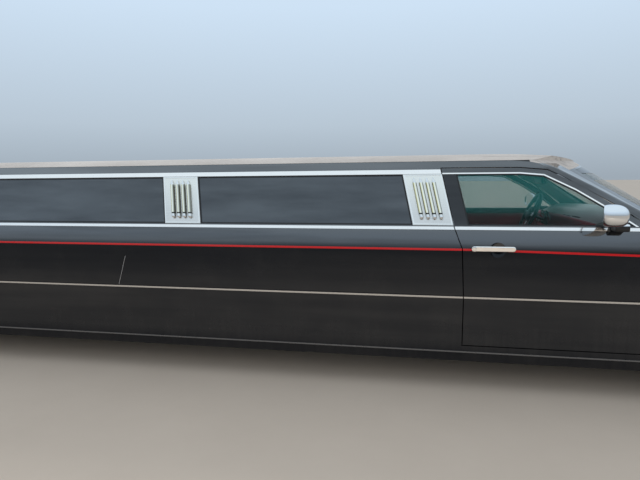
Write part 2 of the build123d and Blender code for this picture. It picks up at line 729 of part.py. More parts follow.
def end_cutter(rows, x0, x1):
    """Prism of a front-view trapezium along the car."""
    with BuildPart() as cutter:
        with BuildSketch(Plane.YZ.offset(x0)):
            with BuildLine():
                (low, low_y), (top, top_y) = rows
                Polyline((-low_y, low), (low_y, low), (top_y, top), (-top_y, top), close=True)
            make_face()
        extrude(amount=x1 - x0)
    return cutter.part


HEADER = 12.0
with BuildPart() as shield:
    add(end_cutter(SHIELD, FRONT_AXLE - 1222, FRONT_X))
    add(above_roof_line(HEADER), mode=Mode.SUBTRACT)
shield_cut = shield.part
backlight_cut = end_cutter(BACKLIGHT, REAR_X, REAR_AXLE + 686)
glass_outer = greenhouse(GLASS_RECESS, 0, 0)
glass_inner = greenhouse(GLASS_RECESS + GLASS, 0, 0)
save(band(glass_outer, glass_inner, shield_cut), "windshield")
save(band(glass_outer, glass_inner, backlight_cut), "rear_window")

window_cuts = [straight_cutter(leaning(x0, x1, GLASS_BASE, GLASS_TOP_Z), WIDE - 500) for x0, x1 in WINDOWS]
panel_cuts = [straight_cutter(leaning(x0, x1, GLASS_BASE, GLASS_TOP_Z), WIDE - 500) for x0, x1 in PANELS]
with BuildPart() as side_glass:
    for cut in window_cuts:
        add(band(glass_outer, glass_inner, cut))
with BuildPart() as side_windows:
    add(side_glass.part)
    mirror(about=Plane.XZ)
save(side_windows.part, "side_windows")

panel_skin = greenhouse(-TRIM, 0, 0)
with BuildPart() as rail:
    add(upper_half.part)
    add(front_door_hole, mode=Mode.SUBTRACT)
    add(rear_door_hole, mode=Mode.SUBTRACT)
    for cut in window_cuts:
        add(cut, mode=Mode.SUBTRACT)
    add(shield_cut, mode=Mode.SUBTRACT)
    add(backlight_cut, mode=Mode.SUBTRACT)
with BuildPart() as roof_rails:
    add(rail.part)
    mirror(about=Plane.XZ)
save(roof_rails.part, "roof_rails")

# Bright trim: a thin layer outside the skins, split where the doors are
BAND_Z = (GLASS_TOP_Z + 2, CANT_Z - 2)
BELT_STRIP_Z = (BELT_Z - 21, BELT_Z - 3)
MOULDING = 16.0
SILL_LINE_Z = (SILL_Z - 6, SILL_Z + 3)
MOULDING_X = (REAR_AXLE + 330, FRONT_AXLE - 340)
BELT_TRIM_X = (REAR_AXLE + 66, HINGE_FRONT_X)
MIRROR_X = (FRONT_AXLE - 870, FRONT_AXLE - 775)
MIRROR_Z = (1050.0, 1178.0)
MIRROR_Y = (962.0, 1150.0)
MIRROR_ROUND = 12.0
MIRROR_END_ROUND = 28.0
MIRROR_INNER_ROUND = 6.0
FOOT_X = (FRONT_AXLE - 812, FRONT_AXLE - 728)
DLO_TRIM = 8.0
trim_skin = body_envelope(-TRIM, 0, 0, 0)


def strip(x0, x1, z0, z1):
    """Flat strip of trim on the left side below the belt."""
    return band(trim_skin, lower_skin, block(x0, x1, 700, WIDE, z0, z1))


moulding_z = (MOULDING_Z - MOULDING / 2, MOULDING_Z + MOULDING / 2)
with BuildPart() as side_trim:
    add(strip(*BELT_TRIM_X, *BELT_STRIP_Z))
    add(strip(*MOULDING_X, *moulding_z))
with BuildPart() as foot_gap:
    add(block(*FOOT_X, 800, WIDE, BELT_STRIP_Z[0] - 2, BELT_Z + 30))

# Grooved opera panels, each with four upright rods standing on it
ROD_R = 12.0
ROD_TIP = 30.0
ROD_TIP_R = 2.5
ROD_PITCH = 40.0
ROD_COUNT = 4
ROD_Z = (1084.0, 1300.0)
ROD_OUT = ROD_R + TRIM - 1.5
side_slope = (BELT_Y - CANT_Y) / (CANT_Z - BELT_Z)
out_y = 1 / (1 + side_slope**2) ** 0.5
out_z = side_slope * out_y
with BuildPart() as opera_left:
    for cut in panel_cuts:
        add(band(panel_skin, upper_skin, cut))
    for x0, x1 in PANELS:
        for index in range(ROD_COUNT):
            x = (x0 + x1) / 2 + (index - (ROD_COUNT - 1) / 2) * ROD_PITCH
            ends = []
            for z in ROD_Z:
                point = (x - LEAN * (z - BELT_Z), side_y(z) + ROD_OUT * out_y, z + ROD_OUT * out_z)
                ends.append(Vector(*point))
            axis = ends[1] - ends[0]
            with BuildSketch(Plane(origin=ends[0], z_dir=axis)):
                Circle(ROD_R)
            extrude(amount=axis.length)
            with Locations(ends[0]):
                Sphere(ROD_R)
            with Locations(Plane(origin=ends[1], z_dir=axis)):
                Cone(ROD_R, ROD_TIP_R, ROD_TIP, align=(Align.CENTER, Align.CENTER, Align.MIN))
with BuildPart() as opera_panels:
    add(opera_left.part)
    mirror(about=Plane.XZ)
save(opera_panels.part, "opera_panels")

with BuildPart() as bands_left:
    top = leaning(REAR_POST_X, FRONT_POST_X, *BAND_Z)
    add(band(panel_skin, upper_skin, straight_cutter(top, WIDE - 500)))
    add(side_trim.part)
    add(strip(SILL_REAR_X + 20, SILL_FRONT_X - 20, *SILL_LINE_Z))
    add(front_door_hole, mode=Mode.SUBTRACT)
    add(rear_door_hole, mode=Mode.SUBTRACT)
with BuildPart() as bright_bands:
    add(bands_left.part)
    mirror(about=Plane.XZ)
save(bright_bands.part, "bright_bands")

HANDLE_ROUND = 6.0
HANDLE_POST_R = 8.0
HANDLE_POST_INSET = 18.0
POST_PLATE = 120.0
door_rows = (
    ("front", front_door_cut, FRONT_GLASS, FRONT_HANDLE_X, (FRONT_GLASS_X - POST_PLATE, FRONT_GLASS_X)),
    ("rear", rear_door_cut, REAR_GLASS, REAR_HANDLE_X, (REAR_GLASS_X, REAR_GLASS_X + POST_PLATE)),
)
for name, cut, pane, handle_x, post_x in door_rows:
    opening = side_cutter(pane, 0)
    with BuildPart() as pane_part:
        add(band(glass_outer, glass_inner, opening))
    save(pane_part.part, "door_glass_" + name + "_left")
    save(right_of(pane_part.part), "door_glass_" + name + "_right")
    # Bright edge over the glass, and none along the post beside it
    with BuildPart() as ring:
        add(side_cutter(pane, DLO_TRIM))
        add(straight_cutter(leaning(*post_x, GLASS_BASE, GLASS_TOP_Z), SIDE_DEPTH), mode=Mode.SUBTRACT)
        add(straight_cutter(leaning(*post_x, GLASS_TOP_Z, GLASS_TOP_Z + DLO_TRIM), SIDE_DEPTH))
        add(cut, mode=Mode.INTERSECT)
        add(panel_skin, mode=Mode.INTERSECT)
        add(upper_skin, mode=Mode.SUBTRACT)
        add(opening, mode=Mode.SUBTRACT)
        add(block(REAR_X, FRONT_X, 0, WIDE, 0, GLASS_BASE), mode=Mode.SUBTRACT)
    with BuildPart() as trim:
        add(side_trim.part)
        add(cut, mode=Mode.INTERSECT)
        add(foot_gap.part, mode=Mode.SUBTRACT)
        add(ring.part)
        skin_y = side_y(HANDLE_Z)
        with BuildPart() as pull:
            with BuildSketch(Plane.XZ.offset(-skin_y - HANDLE_OUT)):
                with Locations((handle_x + HANDLE_LONG / 2, HANDLE_Z)):
                    SlotOverall(HANDLE_LONG, HANDLE_HIGH)
            extrude(amount=HANDLE_DEEP / 2, both=True)
            fillet(pull.edges(), HANDLE_ROUND)
        add(pull.part)
        for end in (handle_x + HANDLE_POST_INSET, handle_x + HANDLE_LONG - HANDLE_POST_INSET):
            with BuildSketch(Plane.XZ.offset(-skin_y - HANDLE_OUT)):
                with Locations((end, HANDLE_Z)):
                    Circle(HANDLE_POST_R)
            extrude(amount=HANDLE_OUT + HANDLE_POST_ROOT)
        add(doors[name], mode=Mode.SUBTRACT)
    save(trim.part, "door_trim_" + name + "_left")
    save(right_of(trim.part), "door_trim_" + name + "_right")

with BuildPart() as mirror_left:
    with BuildSketch(Plane.XZ.offset(-MIRROR_Y[0])):
        with BuildLine():
            x0, x1 = MIRROR_X
            z0, z1 = MIRROR_Z
            Polyline(
                (x0, z1 - 12), (x0, z0 + 10), (x0 + 36, z0), (x1 - 24, z0 + 16),
                (x1, z0 + 66), (x1 - 28, z1 - 16), (x0 + 42, z1), close=True,
            )
        make_face()
    extrude(amount=MIRROR_Y[0] - MIRROR_Y[1])
    # The two edges round the glass stay sharper than those of the shell in front of it
    fillet(mirror_left.edges().filter_by(Axis.Y).sort_by(Axis.X)[2:], MIRROR_ROUND)
    fillet(mirror_left.faces().sort_by(Axis.Y)[-1].edges(), MIRROR_END_ROUND)
    fillet(mirror_left.faces().sort_by(Axis.Y)[0].edges(), MIRROR_INNER_ROUND)
    add(block(*FOOT_X, 880, MIRROR_Y[0] + 20, BELT_STRIP_Z[0], MIRROR_Z[0] + 12))
    add(lower_skin, mode=Mode.SUBTRACT)
    add(upper_skin, mode=Mode.SUBTRACT)
    add(panel_skin, mode=Mode.SUBTRACT)
save(mirror_left.part, "mirror_left")
save(right_of(mirror_left.part), "mirror_right")

# Wheels: a tyre, a rim with ten spokes and a brake disc, turning on a spindle
RIM_HALF = 104.0
TYRE_SHOULDER = 26.0
SPOKES = 10
SPOKE_OUT = 212.0
FACE_OUT = 92.0
FACE = 20.0
HUB_BACK = 24.0
DISC = 22.0
BOLT_PCD = 114.3
BOLTS = 5
BOLT_R = 7.0
SPINDLE_END = 84.0
WINDOW_NEAR = 84.0
WINDOW_FAR = 202.0
WINDOW_NEAR_DEG = 9.0
WINDOW_FAR_DEG = 13.0


def wheel_pair(x):
    """Tyre and rim of the left wheel at a station along the car."""
    centre = Plane(origin=(x, TRACK_Y, TYRE_R), x_dir=(1, 0, 0), z_dir=(0, 1, 0))
    section = Plane(origin=(x, TRACK_Y, TYRE_R), x_dir=(0, 1, 0), z_dir=(-1, 0, 0))
    axle = Axis((x, TRACK_Y, TYRE_R), (0, 1, 0))
    half = TYRE_W / 2
    with BuildPart() as tyre:
        with BuildSketch(section):
            with BuildLine():
                bulge = (half, (TYRE_R + RIM_R) / 2)
                Polyline((-RIM_HALF, RIM_R), (RIM_HALF, RIM_R))
                ThreePointArc((RIM_HALF, RIM_R), bulge, (half - 14, TYRE_R - TYRE_SHOULDER))
                Line((half - 14, TYRE_R - TYRE_SHOULDER), (half - 34, TYRE_R - 4))
                Line((half - 34, TYRE_R - 4), (0, TYRE_R))
                Line((0, TYRE_R), (34 - half, TYRE_R - 4))
                Line((34 - half, TYRE_R - 4), (14 - half, TYRE_R - TYRE_SHOULDER))
                ThreePointArc((14 - half, TYRE_R - TYRE_SHOULDER), (-half, bulge[1]), (-RIM_HALF, RIM_R))
            make_face()
        revolve(axis=axle)
    with BuildPart() as rim:
        with BuildSketch(section):
            with BuildLine():
                Polyline(
                    (-RIM_HALF, RIM_R),
                    (RIM_HALF, RIM_R),
                    (RIM_HALF, RIM_R - RIM_WALL),
                    (FACE_OUT, RIM_R - RIM_WALL - 4),
                    (FACE_OUT, SPOKE_OUT - 14),
                    (FACE_OUT - 16, HUB_R),
                    (FACE_OUT - 16, 30),
                    (SPINDLE_END + 4, 30),
                    (SPINDLE_END + 4, 0),
                    (SPINDLE_END, 0),
                    (SPINDLE_END, SPINDLE_R + FIT),
                    (HUB_BACK - DISC, SPINDLE_R + FIT),
                    (HUB_BACK - DISC, DISC_R),
                    (HUB_BACK, DISC_R),
                    (HUB_BACK, HUB_R),
                    (FACE_OUT - 16 - FACE, HUB_R),
                    (FACE_OUT - FACE, SPOKE_OUT - 14),
                    (FACE_OUT - FACE, RIM_R - RIM_WALL),
                    (-RIM_HALF, RIM_R - RIM_WALL),
                    close=True,
                )
            make_face()
        revolve(axis=axle)
        # Windows between the spokes
        with BuildSketch(mode=Mode.PRIVATE) as window:
            with BuildLine():
                near, far = WINDOW_NEAR, WINDOW_FAR
                a, b = near * sin(radians(WINDOW_NEAR_DEG)), far * sin(radians(WINDOW_FAR_DEG))
                Line((near, -a), (near, a))
                Line((near, a), (far - 6, b))
                ThreePointArc((far - 6, b), (far, 0), (far - 6, -b))
                Line((far - 6, -b), (near, -a))
            make_face()
        with BuildSketch(centre.offset(FACE_OUT + 20)):
            with PolarLocations(0, SPOKES):
                add(window.sketch)
        extrude(amount=-60, mode=Mode.SUBTRACT)
        with BuildSketch(centre.offset(FACE_OUT)):
            with PolarLocations(BOLT_PCD / 2, BOLTS):
                Circle(BOLT_R)
        extrude(amount=-60, mode=Mode.SUBTRACT)
    return tyre.part, rim.part


for name, x in (("front", FRONT_AXLE), ("rear", REAR_AXLE)):
    tyre, rim = wheel_pair(x)
    save(tyre, "tyre_" + name + "_left")
    save(right_of(tyre), "tyre_" + name + "_right")
    save(rim, "rim_" + name + "_left")
    save(right_of(rim), "rim_" + name + "_right")

# Steering knuckle with its spindle, kingpin boss and caliper
BOSS_R = 24.0
BOSS_Z = (TYRE_R - 108, TYRE_R + 108)
PIN_R = 12.0
PIN_IN = 22.0
CALIPER_GAP = 5.0
caliper_y = (TRACK_Y + HUB_BACK - DISC - CALIPER_GAP, TRACK_Y + HUB_BACK + CALIPER_GAP)
with BuildPart() as knuckle:
    with BuildSketch(Plane.XY.offset(BOSS_Z[0])):
        with Locations((FRONT_AXLE, KINGPIN_Y)):
            Circle(BOSS_R)
    extrude(amount=BOSS_Z[1] - BOSS_Z[0])
    add(block(FRONT_AXLE - 60, FRONT_AXLE + 60, KINGPIN_Y - 20, KINGPIN_Y + 14, TYRE_R - 60, TYRE_R + 60))
    add(block(FRONT_AXLE - 182, FRONT_AXLE - 50, KINGPIN_Y - 14, KINGPIN_Y + 8, TYRE_R - 50, TYRE_R + 50))
    add(block(FRONT_AXLE - 196, FRONT_AXLE - 122, KINGPIN_Y - 14, caliper_y[1] + 14, TYRE_R - 66, TYRE_R + 66))
    with BuildSketch(Plane.XZ.offset(-caliper_y[0])):
        with Locations((FRONT_AXLE, TYRE_R)):
            Circle(DISC_R + CALIPER_GAP)
    extrude(amount=caliper_y[0] - caliper_y[1], mode=Mode.SUBTRACT)
    with BuildSketch(Plane.XZ.offset(-KINGPIN_Y)):
        with Locations((FRONT_AXLE, TYRE_R)):
            Circle(SPINDLE_R)
    extrude(amount=KINGPIN_Y - TRACK_Y - SPINDLE_END + 6)
    for z, depth in ((BOSS_Z[0], PIN_IN), (BOSS_Z[1], -PIN_IN)):
        with BuildSketch(Plane.XY.offset(z)):
            with Locations((FRONT_AXLE, KINGPIN_Y)):
                Circle(PIN_R + FIT)
        extrude(amount=depth, mode=Mode.SUBTRACT)
save(knuckle.part, "knuckle_left")
save(right_of(knuckle.part), "knuckle_right")

# Front subframe with its control arms, whose pins enter the knuckles
RAIL_Y = (424.0, 468.0)
RAIL_Z = (TYRE_R + 72, TYRE_R + 162)
ENGINE_Y = 260.0
ARM = 18.0
ARM_HALF = 18.0
ARM_ROOT = 130.0
SEAT_GAP = 0.3
with BuildPart() as arms:
    arm_rows = ((BOSS_Z[0] - SEAT_GAP - ARM, 1), (BOSS_Z[1] + SEAT_GAP, -1))
    for z, up in arm_rows:
        with BuildSketch(Plane.XY.offset(z)):
            with BuildLine():
                Polyline(
                    (FRONT_AXLE - ARM_ROOT, RAIL_Y[1]),
                    (FRONT_AXLE + ARM_ROOT, RAIL_Y[1]),
                    (FRONT_AXLE + ARM_HALF, KINGPIN_Y - 90),
                    (FRONT_AXLE + ARM_HALF, KINGPIN_Y),
                    (FRONT_AXLE - ARM_HALF, KINGPIN_Y),
                    (FRONT_AXLE - ARM_HALF, KINGPIN_Y - 90),
                    close=True,
                )
            make_face()
            with Locations((FRONT_AXLE, KINGPIN_Y)):
                Circle(ARM_HALF + 4)
        extrude(amount=ARM)
        with BuildSketch(Plane.XY.offset(z if up > 0 else z + ARM)):
            with Locations((FRONT_AXLE, KINGPIN_Y)):
                Circle(PIN_R)
        extrude(amount=up * (ARM + PIN_IN - 4))
lower_z = BOSS_Z[0] - SEAT_GAP - ARM
with BuildPart() as front_subframe:
    add(arms.part)
    mirror(about=Plane.XZ)
    add(block(FRONT_AXLE - 150, FRONT_AXLE + 150, -RAIL_Y[1], RAIL_Y[1], lower_z - 26, lower_z + ARM))
    towers = (FRONT_AXLE - 132, FRONT_AXLE + 132, RAIL_Y[0], RAIL_Y[1])
    for z0, z1 in ((lower_z + ARM, RAIL_Z[0]), (RAIL_Z[1], RAIL_Z[1])):
        if z1 > z0:
            add(both_sides(*towers, z0, z1))
    add(both_sides(FIREWALL_X + BULKHEAD, FRONT_X - 150, *RAIL_Y, *RAIL_Z))
    add(block(FRONT_X - 190, FRONT_X - 150, -560, 560, *RAIL_Z))
    add(both_sides(FRONT_AXLE - 60, FRONT_AXLE, ENGINE_Y + SEAT_GAP, RAIL_Y[0], RAIL_Z[0], RAIL_Z[0] + 50))
save(front_subframe.part, "front_subframe")


# Rear axle: housing, half shafts, uprights, spindles and trailing arms
UPRIGHT_Y = (700.0, 756.0)
SHAFT_R = 20.0
HOUSING_R = 100.0
NOSE_R = 44.0
DRIVE_R = 35.0
NOSE_X = REAR_AXLE + 156
TRAIL_Y = 620.0
TRAIL_X = REAR_AXLE + 560
with BuildPart() as rear_axle:
    with BuildSketch(Plane.XZ.offset(UPRIGHT_Y[1])):
        with Locations((REAR_AXLE, TYRE_R)):
            Circle(SHAFT_R)
    extrude(amount=-2 * UPRIGHT_Y[1])
    for side in (-1, 1):
        with BuildSketch(Plane.XZ.offset(side * UPRIGHT_Y[0])):
            with Locations((REAR_AXLE, TYRE_R)):
                Rectangle(110, 150)
        extrude(amount=side * (UPRIGHT_Y[1] - UPRIGHT_Y[0]))
        with BuildSketch(Plane.XZ.offset(side * UPRIGHT_Y[1])):
            with Locations((REAR_AXLE, TYRE_R)):
                Circle(SPINDLE_R)
        extrude(amount=side * (TRACK_Y + SPINDLE_END - 6 - UPRIGHT_Y[1]))
    add(both_sides(REAR_AXLE + 20, REAR_AXLE + 55, TRAIL_Y, UPRIGHT_Y[0], TYRE_R - 58, TYRE_R - 8))
    add(both_sides(REAR_AXLE + 20, TRAIL_X, TRAIL_Y - 22, TRAIL_Y + 22, TYRE_R - 58, TYRE_R - 8))
    add(both_sides(TRAIL_X - 40, TRAIL_X, TRAIL_Y - 22, TRAIL_Y + 22, TYRE_R - 8, SEAT_FLOOR_Z))
    with BuildSketch(Plane.XZ.offset(130)):
        with Locations((REAR_AXLE, TYRE_R)):
            Circle(HOUSING_R)
    extrude(amount=-260)
    with BuildSketch(Plane.YZ.offset(REAR_AXLE)):
        with Locations((0, DRIVE_Z)):
            Circle(NOSE_R)
    extrude(amount=NOSE_X - REAR_AXLE)
    add(block(REAR_AXLE - 60, REAR_AXLE + 60, -400, 400, TYRE_R + 70, REAR_FLOOR_Z))
save(rear_axle.part, "rear_axle")

# Floor with its tunnel, firewall, bulkhead, wheel houses and boot floor
PAN_Z = 235.0
PAN = 27.0
PAN_REAR_X = REAR_AXLE + 736
KICK_X = REAR_AXLE + 226
TUNNEL_Y = 150.0
BOOT_X = REAR_X + 140
HOUSE_R = ARCH_R + 5
HOUSE_WALL = 6.0
REAR_HOUSE_Y = 662.0
HOUSE_OUT_Y = 884.0
FRONT_HOUSE_Z = RAIL_Z[1] - 15
WALL_TOP_Z = 1000.0


def wheel_house(x, inner_y, low_z):
    """Liner round the upper part of a left wheel, with its inner wall."""
    with BuildPart() as house:
        with BuildSketch(Plane.XZ.offset(-inner_y)):
            with Locations((x, TYRE_R)):
                Circle(HOUSE_R + HOUSE_WALL)
        extrude(amount=inner_y - HOUSE_OUT_Y)
        with BuildSketch(Plane.XZ.offset(-inner_y - HOUSE_WALL)):
            with Locations((x, TYRE_R)):
                Circle(HOUSE_R)
        extrude(amount=inner_y - HOUSE_OUT_Y, mode=Mode.SUBTRACT)
        add(block(x - 500, x + 500, 0, WIDE, -HOUSE_R, low_z), mode=Mode.SUBTRACT)
    return house.part


firewall_end = FIREWALL_X + BULKHEAD
house_top = TYRE_R + HOUSE_R + HOUSE_WALL
wall_x = (SEATBACK_X - BULKHEAD, SEATBACK_X)
with BuildPart() as floor_pan:
    add(block(PAN_REAR_X, firewall_end, -SILL_INNER_Y, SILL_INNER_Y, PAN_Z, PAN_Z + PAN))
    add(block(PAN_REAR_X, firewall_end, -TUNNEL_Y, TUNNEL_Y, PAN_Z, TUNNEL_Z))
    add(block(FIREWALL_X, firewall_end, -COWL_Y, COWL_Y, PAN_Z + PAN, WALL_TOP_Z))
    tunnel_inner = (TUNNEL_Y - PAN, TUNNEL_Z - PAN)
    add(
        block(PAN_REAR_X, firewall_end, -tunnel_inner[0], tunnel_inner[0], 0, tunnel_inner[1]),
        mode=Mode.SUBTRACT,
    )
save(floor_pan.part, "floor_pan")

with BuildPart() as rear_floor:
    add(block(PAN_REAR_X - PAN, PAN_REAR_X, -SILL_INNER_Y, SILL_INNER_Y, PAN_Z, SEAT_FLOOR_Z + PAN))
    add(block(KICK_X, PAN_REAR_X, -REAR_HOUSE_Y, REAR_HOUSE_Y, SEAT_FLOOR_Z, SEAT_FLOOR_Z + PAN))
    add(block(KICK_X - PAN, KICK_X, -REAR_HOUSE_Y, REAR_HOUSE_Y, SEAT_FLOOR_Z, REAR_FLOOR_Z + PAN))
    add(block(BOOT_X, KICK_X, -REAR_HOUSE_Y, REAR_HOUSE_Y, REAR_FLOOR_Z, REAR_FLOOR_Z + PAN))
    add(block(*wall_x, -REAR_HOUSE_Y, REAR_HOUSE_Y, REAR_FLOOR_Z + PAN, house_top))
    add(block(*wall_x, -COWL_Y, COWL_Y, house_top, WALL_TOP_Z))
    add(
        block(PAN_REAR_X - PAN, PAN_REAR_X, -tunnel_inner[0], tunnel_inner[0], 0, tunnel_inner[1]),
        mode=Mode.SUBTRACT,
    )
save(rear_floor.part, "rear_floor")

with BuildPart() as wheel_houses:
    for x, inner_y, low_z in (
        (FRONT_AXLE, RAIL_Y[1], FRONT_HOUSE_Z),
        (REAR_AXLE, REAR_HOUSE_Y, REAR_FLOOR_Z),
    ):
        house = wheel_house(x, inner_y, low_z)
        add(house)
        add(right_of(house))
save(wheel_houses.part, "wheel_houses")

ENGINE_X = (FRONT_AXLE - 342, FRONT_AXLE + 258)
ENGINE_Z = (RAIL_Z[0] - 130, RAIL_Z[0] + 410)
save(block(*ENGINE_X, -ENGINE_Y, ENGINE_Y, *ENGINE_Z), "engine")

with BuildPart() as driveshaft:
    with BuildSketch(Plane.YZ.offset(NOSE_X + SEAT_GAP)):
        with Locations((0, DRIVE_Z)):
            Circle(DRIVE_R)
    extrude(amount=ENGINE_X[0] - NOSE_X - 2 * SEAT_GAP)
save(driveshaft.part, "driveshaft")

TANK_X = (KICK_X + 20, PAN_REAR_X - PAN - 3)
TANK_Y = 500.0
TANK_Z = 205.0
with BuildPart() as fuel_tank:
    add(block(*TANK_X, -TANK_Y, TANK_Y, TANK_Z, SEAT_FLOOR_Z))
    fillet(fuel_tank.edges().filter_by(Axis.Y), 24)
    add(block(*TANK_X, -70, 70, DRIVE_Z - 60, SEAT_FLOOR_Z), mode=Mode.SUBTRACT)
save(fuel_tank.part, "fuel_tank")

PIPE_R = 28.0
PIPE_Z = 203.0
MUFFLER_X = (REAR_X + 160, REAR_X + 560)
with BuildPart() as exhaust_left:
    with BuildLine() as route:
        Polyline(
            (ENGINE_X[0] - SEAT_GAP, 200, ENGINE_Z[0] + 40),
            (ENGINE_X[0] - 50, 200, ENGINE_Z[0] + 40),
            (ENGINE_X[0] - 115, 260, PIPE_Z),
            (ENGINE_X[0] - 420, TIP_Y, PIPE_Z),
            (MUFFLER_X[1] - 20, TIP_Y, PIPE_Z),
        )
    with BuildSketch(Plane(origin=route.line @ 0, z_dir=(-1, 0, 0))):
        Circle(PIPE_R)
    sweep(path=route.line, transition=Transition.RIGHT)
    add(block(*MUFFLER_X, TIP_Y - 110, TIP_Y + 110, 188, 330))
    with BuildSketch(Plane.YZ.offset(MUFFLER_X[0])):
        with Locations((TIP_Y, TIP_Z)):
            Circle(TIP_R)
    extrude(amount=-145)
    with BuildSketch(Plane.YZ.offset(REAR_X)):
        with Locations((TIP_Y, TIP_Z)):
            Circle(TIP_R - 4)
    extrude(amount=120, mode=Mode.SUBTRACT)
    add(block(MUFFLER_X[0] + 160, MUFFLER_X[0] + 200, TIP_Y - 15, TIP_Y + 15, 330, REAR_FLOOR_Z))
with BuildPart() as exhaust:
    add(exhaust_left.part)
    mirror(about=Plane.XZ)
save(exhaust.part, "exhaust")

# Dashboard with the centre stack and the steering column's bore
WHEEL_AT = Vector(FRONT_AXLE - 1002, 370, 1030)
WHEEL_TILT = 25.0
COLUMN_R = 12.0
wheel_plane = Plane(
    origin=WHEEL_AT,
    x_dir=(0, 1, 0),
    z_dir=(-cos(radians(WHEEL_TILT)), 0, sin(radians(WHEEL_TILT))),
)
rim_plane = Plane(
    origin=WHEEL_AT,
    x_dir=(0, 1, 0),
    z_dir=(sin(radians(WHEEL_TILT)), 0, cos(radians(WHEEL_TILT))),
)
DASH_Y = 775.0
DASH_X = FIREWALL_X - 310
with BuildPart() as dashboard:
    with BuildSketch(Plane.XZ.offset(-DASH_Y)):
        with BuildLine():
            Polyline(
                (FIREWALL_X, 1012), (DASH_X + 110, 1022), (DASH_X, 1000), (DASH_X - 30, 930),
                (DASH_X + 30, 800), (DASH_X + 110, 690), (FIREWALL_X, 640), close=True,
            )
        make_face()
    extrude(amount=2 * DASH_Y)
    with BuildSketch(Plane.XZ.offset(-170)):
        with BuildLine():
            Polyline(
                (DASH_X + 110, 1026), (DASH_X + 2, 1012), (DASH_X - 50, 780), (DASH_X - 110, TUNNEL_Z),
                (DASH_X + 110, TUNNEL_Z), close=True,
            )
        make_face()
    extrude(amount=340)
    with BuildSketch(wheel_plane.offset(-110)):
        Circle(COLUMN_R + 22)
    extrude(amount=-230)
    with BuildSketch(wheel_plane):
        Circle(COLUMN_R + FIT)
    extrude(amount=-320, mode=Mode.SUBTRACT)
save(dashboard.part, "dashboard")

STEER_R = 186.0
STEER_RIM_R = 14.0
with BuildPart() as steering_wheel:
    with BuildSketch(rim_plane):
        with Locations((STEER_R - STEER_RIM_R, 0)):
            Circle(STEER_RIM_R)
    revolve(axis=Axis(WHEEL_AT, wheel_plane.z_dir))
    with BuildSketch(wheel_plane.offset(-28)):
        Circle(62)
    extrude(amount=34)
    with BuildSketch(wheel_plane.offset(-16)):
        with Locations((0, 0)):
            Rectangle(2 * (STEER_R - STEER_RIM_R), 40)
        with Locations((0, STEER_RIM_R / 2 - STEER_R / 2)):
            Rectangle(36, STEER_R - STEER_RIM_R)
    extrude(amount=16)
    with BuildSketch(wheel_plane.offset(-28)):
        Circle(COLUMN_R)
    extrude(amount=-250)
save(steering_wheel.part, "steering_wheel")

SEAT_Y = (156.0, 636.0)
SEAT_X = FRONT_CUT_X - 159
with BuildPart() as seats_left:
    with BuildSketch(Plane.XZ.offset(-SEAT_Y[1])):
        with BuildLine():
            Polyline(
                (SEAT_X + 160, PAN_Z + PAN), (SEAT_X + 560, PAN_Z + PAN), (SEAT_X + 610, 420),
                (SEAT_X + 600, 505), (SEAT_X + 540, 530), (SEAT_X + 220, 500), (SEAT_X + 60, 1070),
                (SEAT_X, 1110), (SEAT_X - 60, 1070), (SEAT_X + 50, 420), close=True,
            )
        make_face()
    extrude(amount=SEAT_Y[1] - SEAT_Y[0])
    add(block(SEAT_X - 50, SEAT_X + 40, 300, 492, 1105, 1250))
with BuildPart() as front_seats:
    add(seats_left.part)
    mirror(about=Plane.XZ)
save(front_seats.part, "front_seats")

DIVIDER_X = (FRONT_CUT_X - 359, FRONT_CUT_X - 329)
with BuildPart() as divider:
    with BuildSketch(Plane.YZ.offset(DIVIDER_X[0])):
        with BuildLine():
            Polyline(
                (SILL_INNER_Y, PAN_Z + PAN), (SILL_INNER_Y, 420), (814, 440), (814, BELT_Z),
                (700, CANT_Z - 8), (-700, CANT_Z - 8), (-814, BELT_Z), (-814, 440),
                (-SILL_INNER_Y, 420), (-SILL_INNER_Y, PAN_Z + PAN), close=True,
            )
        make_face()
        with Locations((0, (PAN_Z + TUNNEL_Z) / 2)):
            Rectangle(2 * TUNNEL_Y, TUNNEL_Z - PAN_Z, mode=Mode.SUBTRACT)
        with Locations((0, 1185)):
            Rectangle(1100, 280, mode=Mode.SUBTRACT)
    extrude(amount=DIVIDER_X[1] - DIVIDER_X[0])
save(divider.part, "divider")

BENCH_Y = 654.0
COUCH_X = (REAR_CUT_X + 107, FRONT_CUT_X - 499)
with BuildPart() as rear_seats:
    with BuildSketch(Plane.XZ.offset(-BENCH_Y)):
        with BuildLine():
            Polyline(
                (PAN_REAR_X - PAN, SEAT_FLOOR_Z + PAN), (PAN_REAR_X + 20, 560), (PAN_REAR_X - 10, 620),
                (KICK_X + 60, 590), (SEATBACK_X + 220, 1090), (SEATBACK_X + 150, 1120),
                (SEATBACK_X + 70, 1090), (SEATBACK_X, REAR_FLOOR_Z + PAN), (KICK_X, REAR_FLOOR_Z + PAN),
                (KICK_X, SEAT_FLOOR_Z + PAN), close=True,
            )
        make_face()
    extrude(amount=2 * BENCH_Y)
    with BuildSketch(Plane.YZ.offset(COUCH_X[0])):
        with BuildLine():
            Polyline(
                (330, PAN_Z + PAN), (310, 440), (330, 500), (650, 480), (710, 880), (750, 910),
                (800, 880), (770, PAN_Z + PAN), close=True,
            )
        make_face()
    extrude(amount=COUCH_X[1] - COUCH_X[0])
save(rear_seats.part, "rear_seats")
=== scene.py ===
# %% [markdown]
# # A stretched sedan, dressed in Blender
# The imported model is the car's construction: panels, doors, glass, wheels and running gear at
# their real size. This lesson gives every panel its finish and adds the pieces that only the eye
# needs: trim ends, seals, seats, lamps' insides and tread. Units are metres; +X is the front of
# the car, +Y its left and +Z up.

# %% Load the frame
from math import cos, exp, pi, radians, sin

import bmesh
import bpy
from mathutils import Matrix, Vector
from mathutils.bvhtree import BVHTree


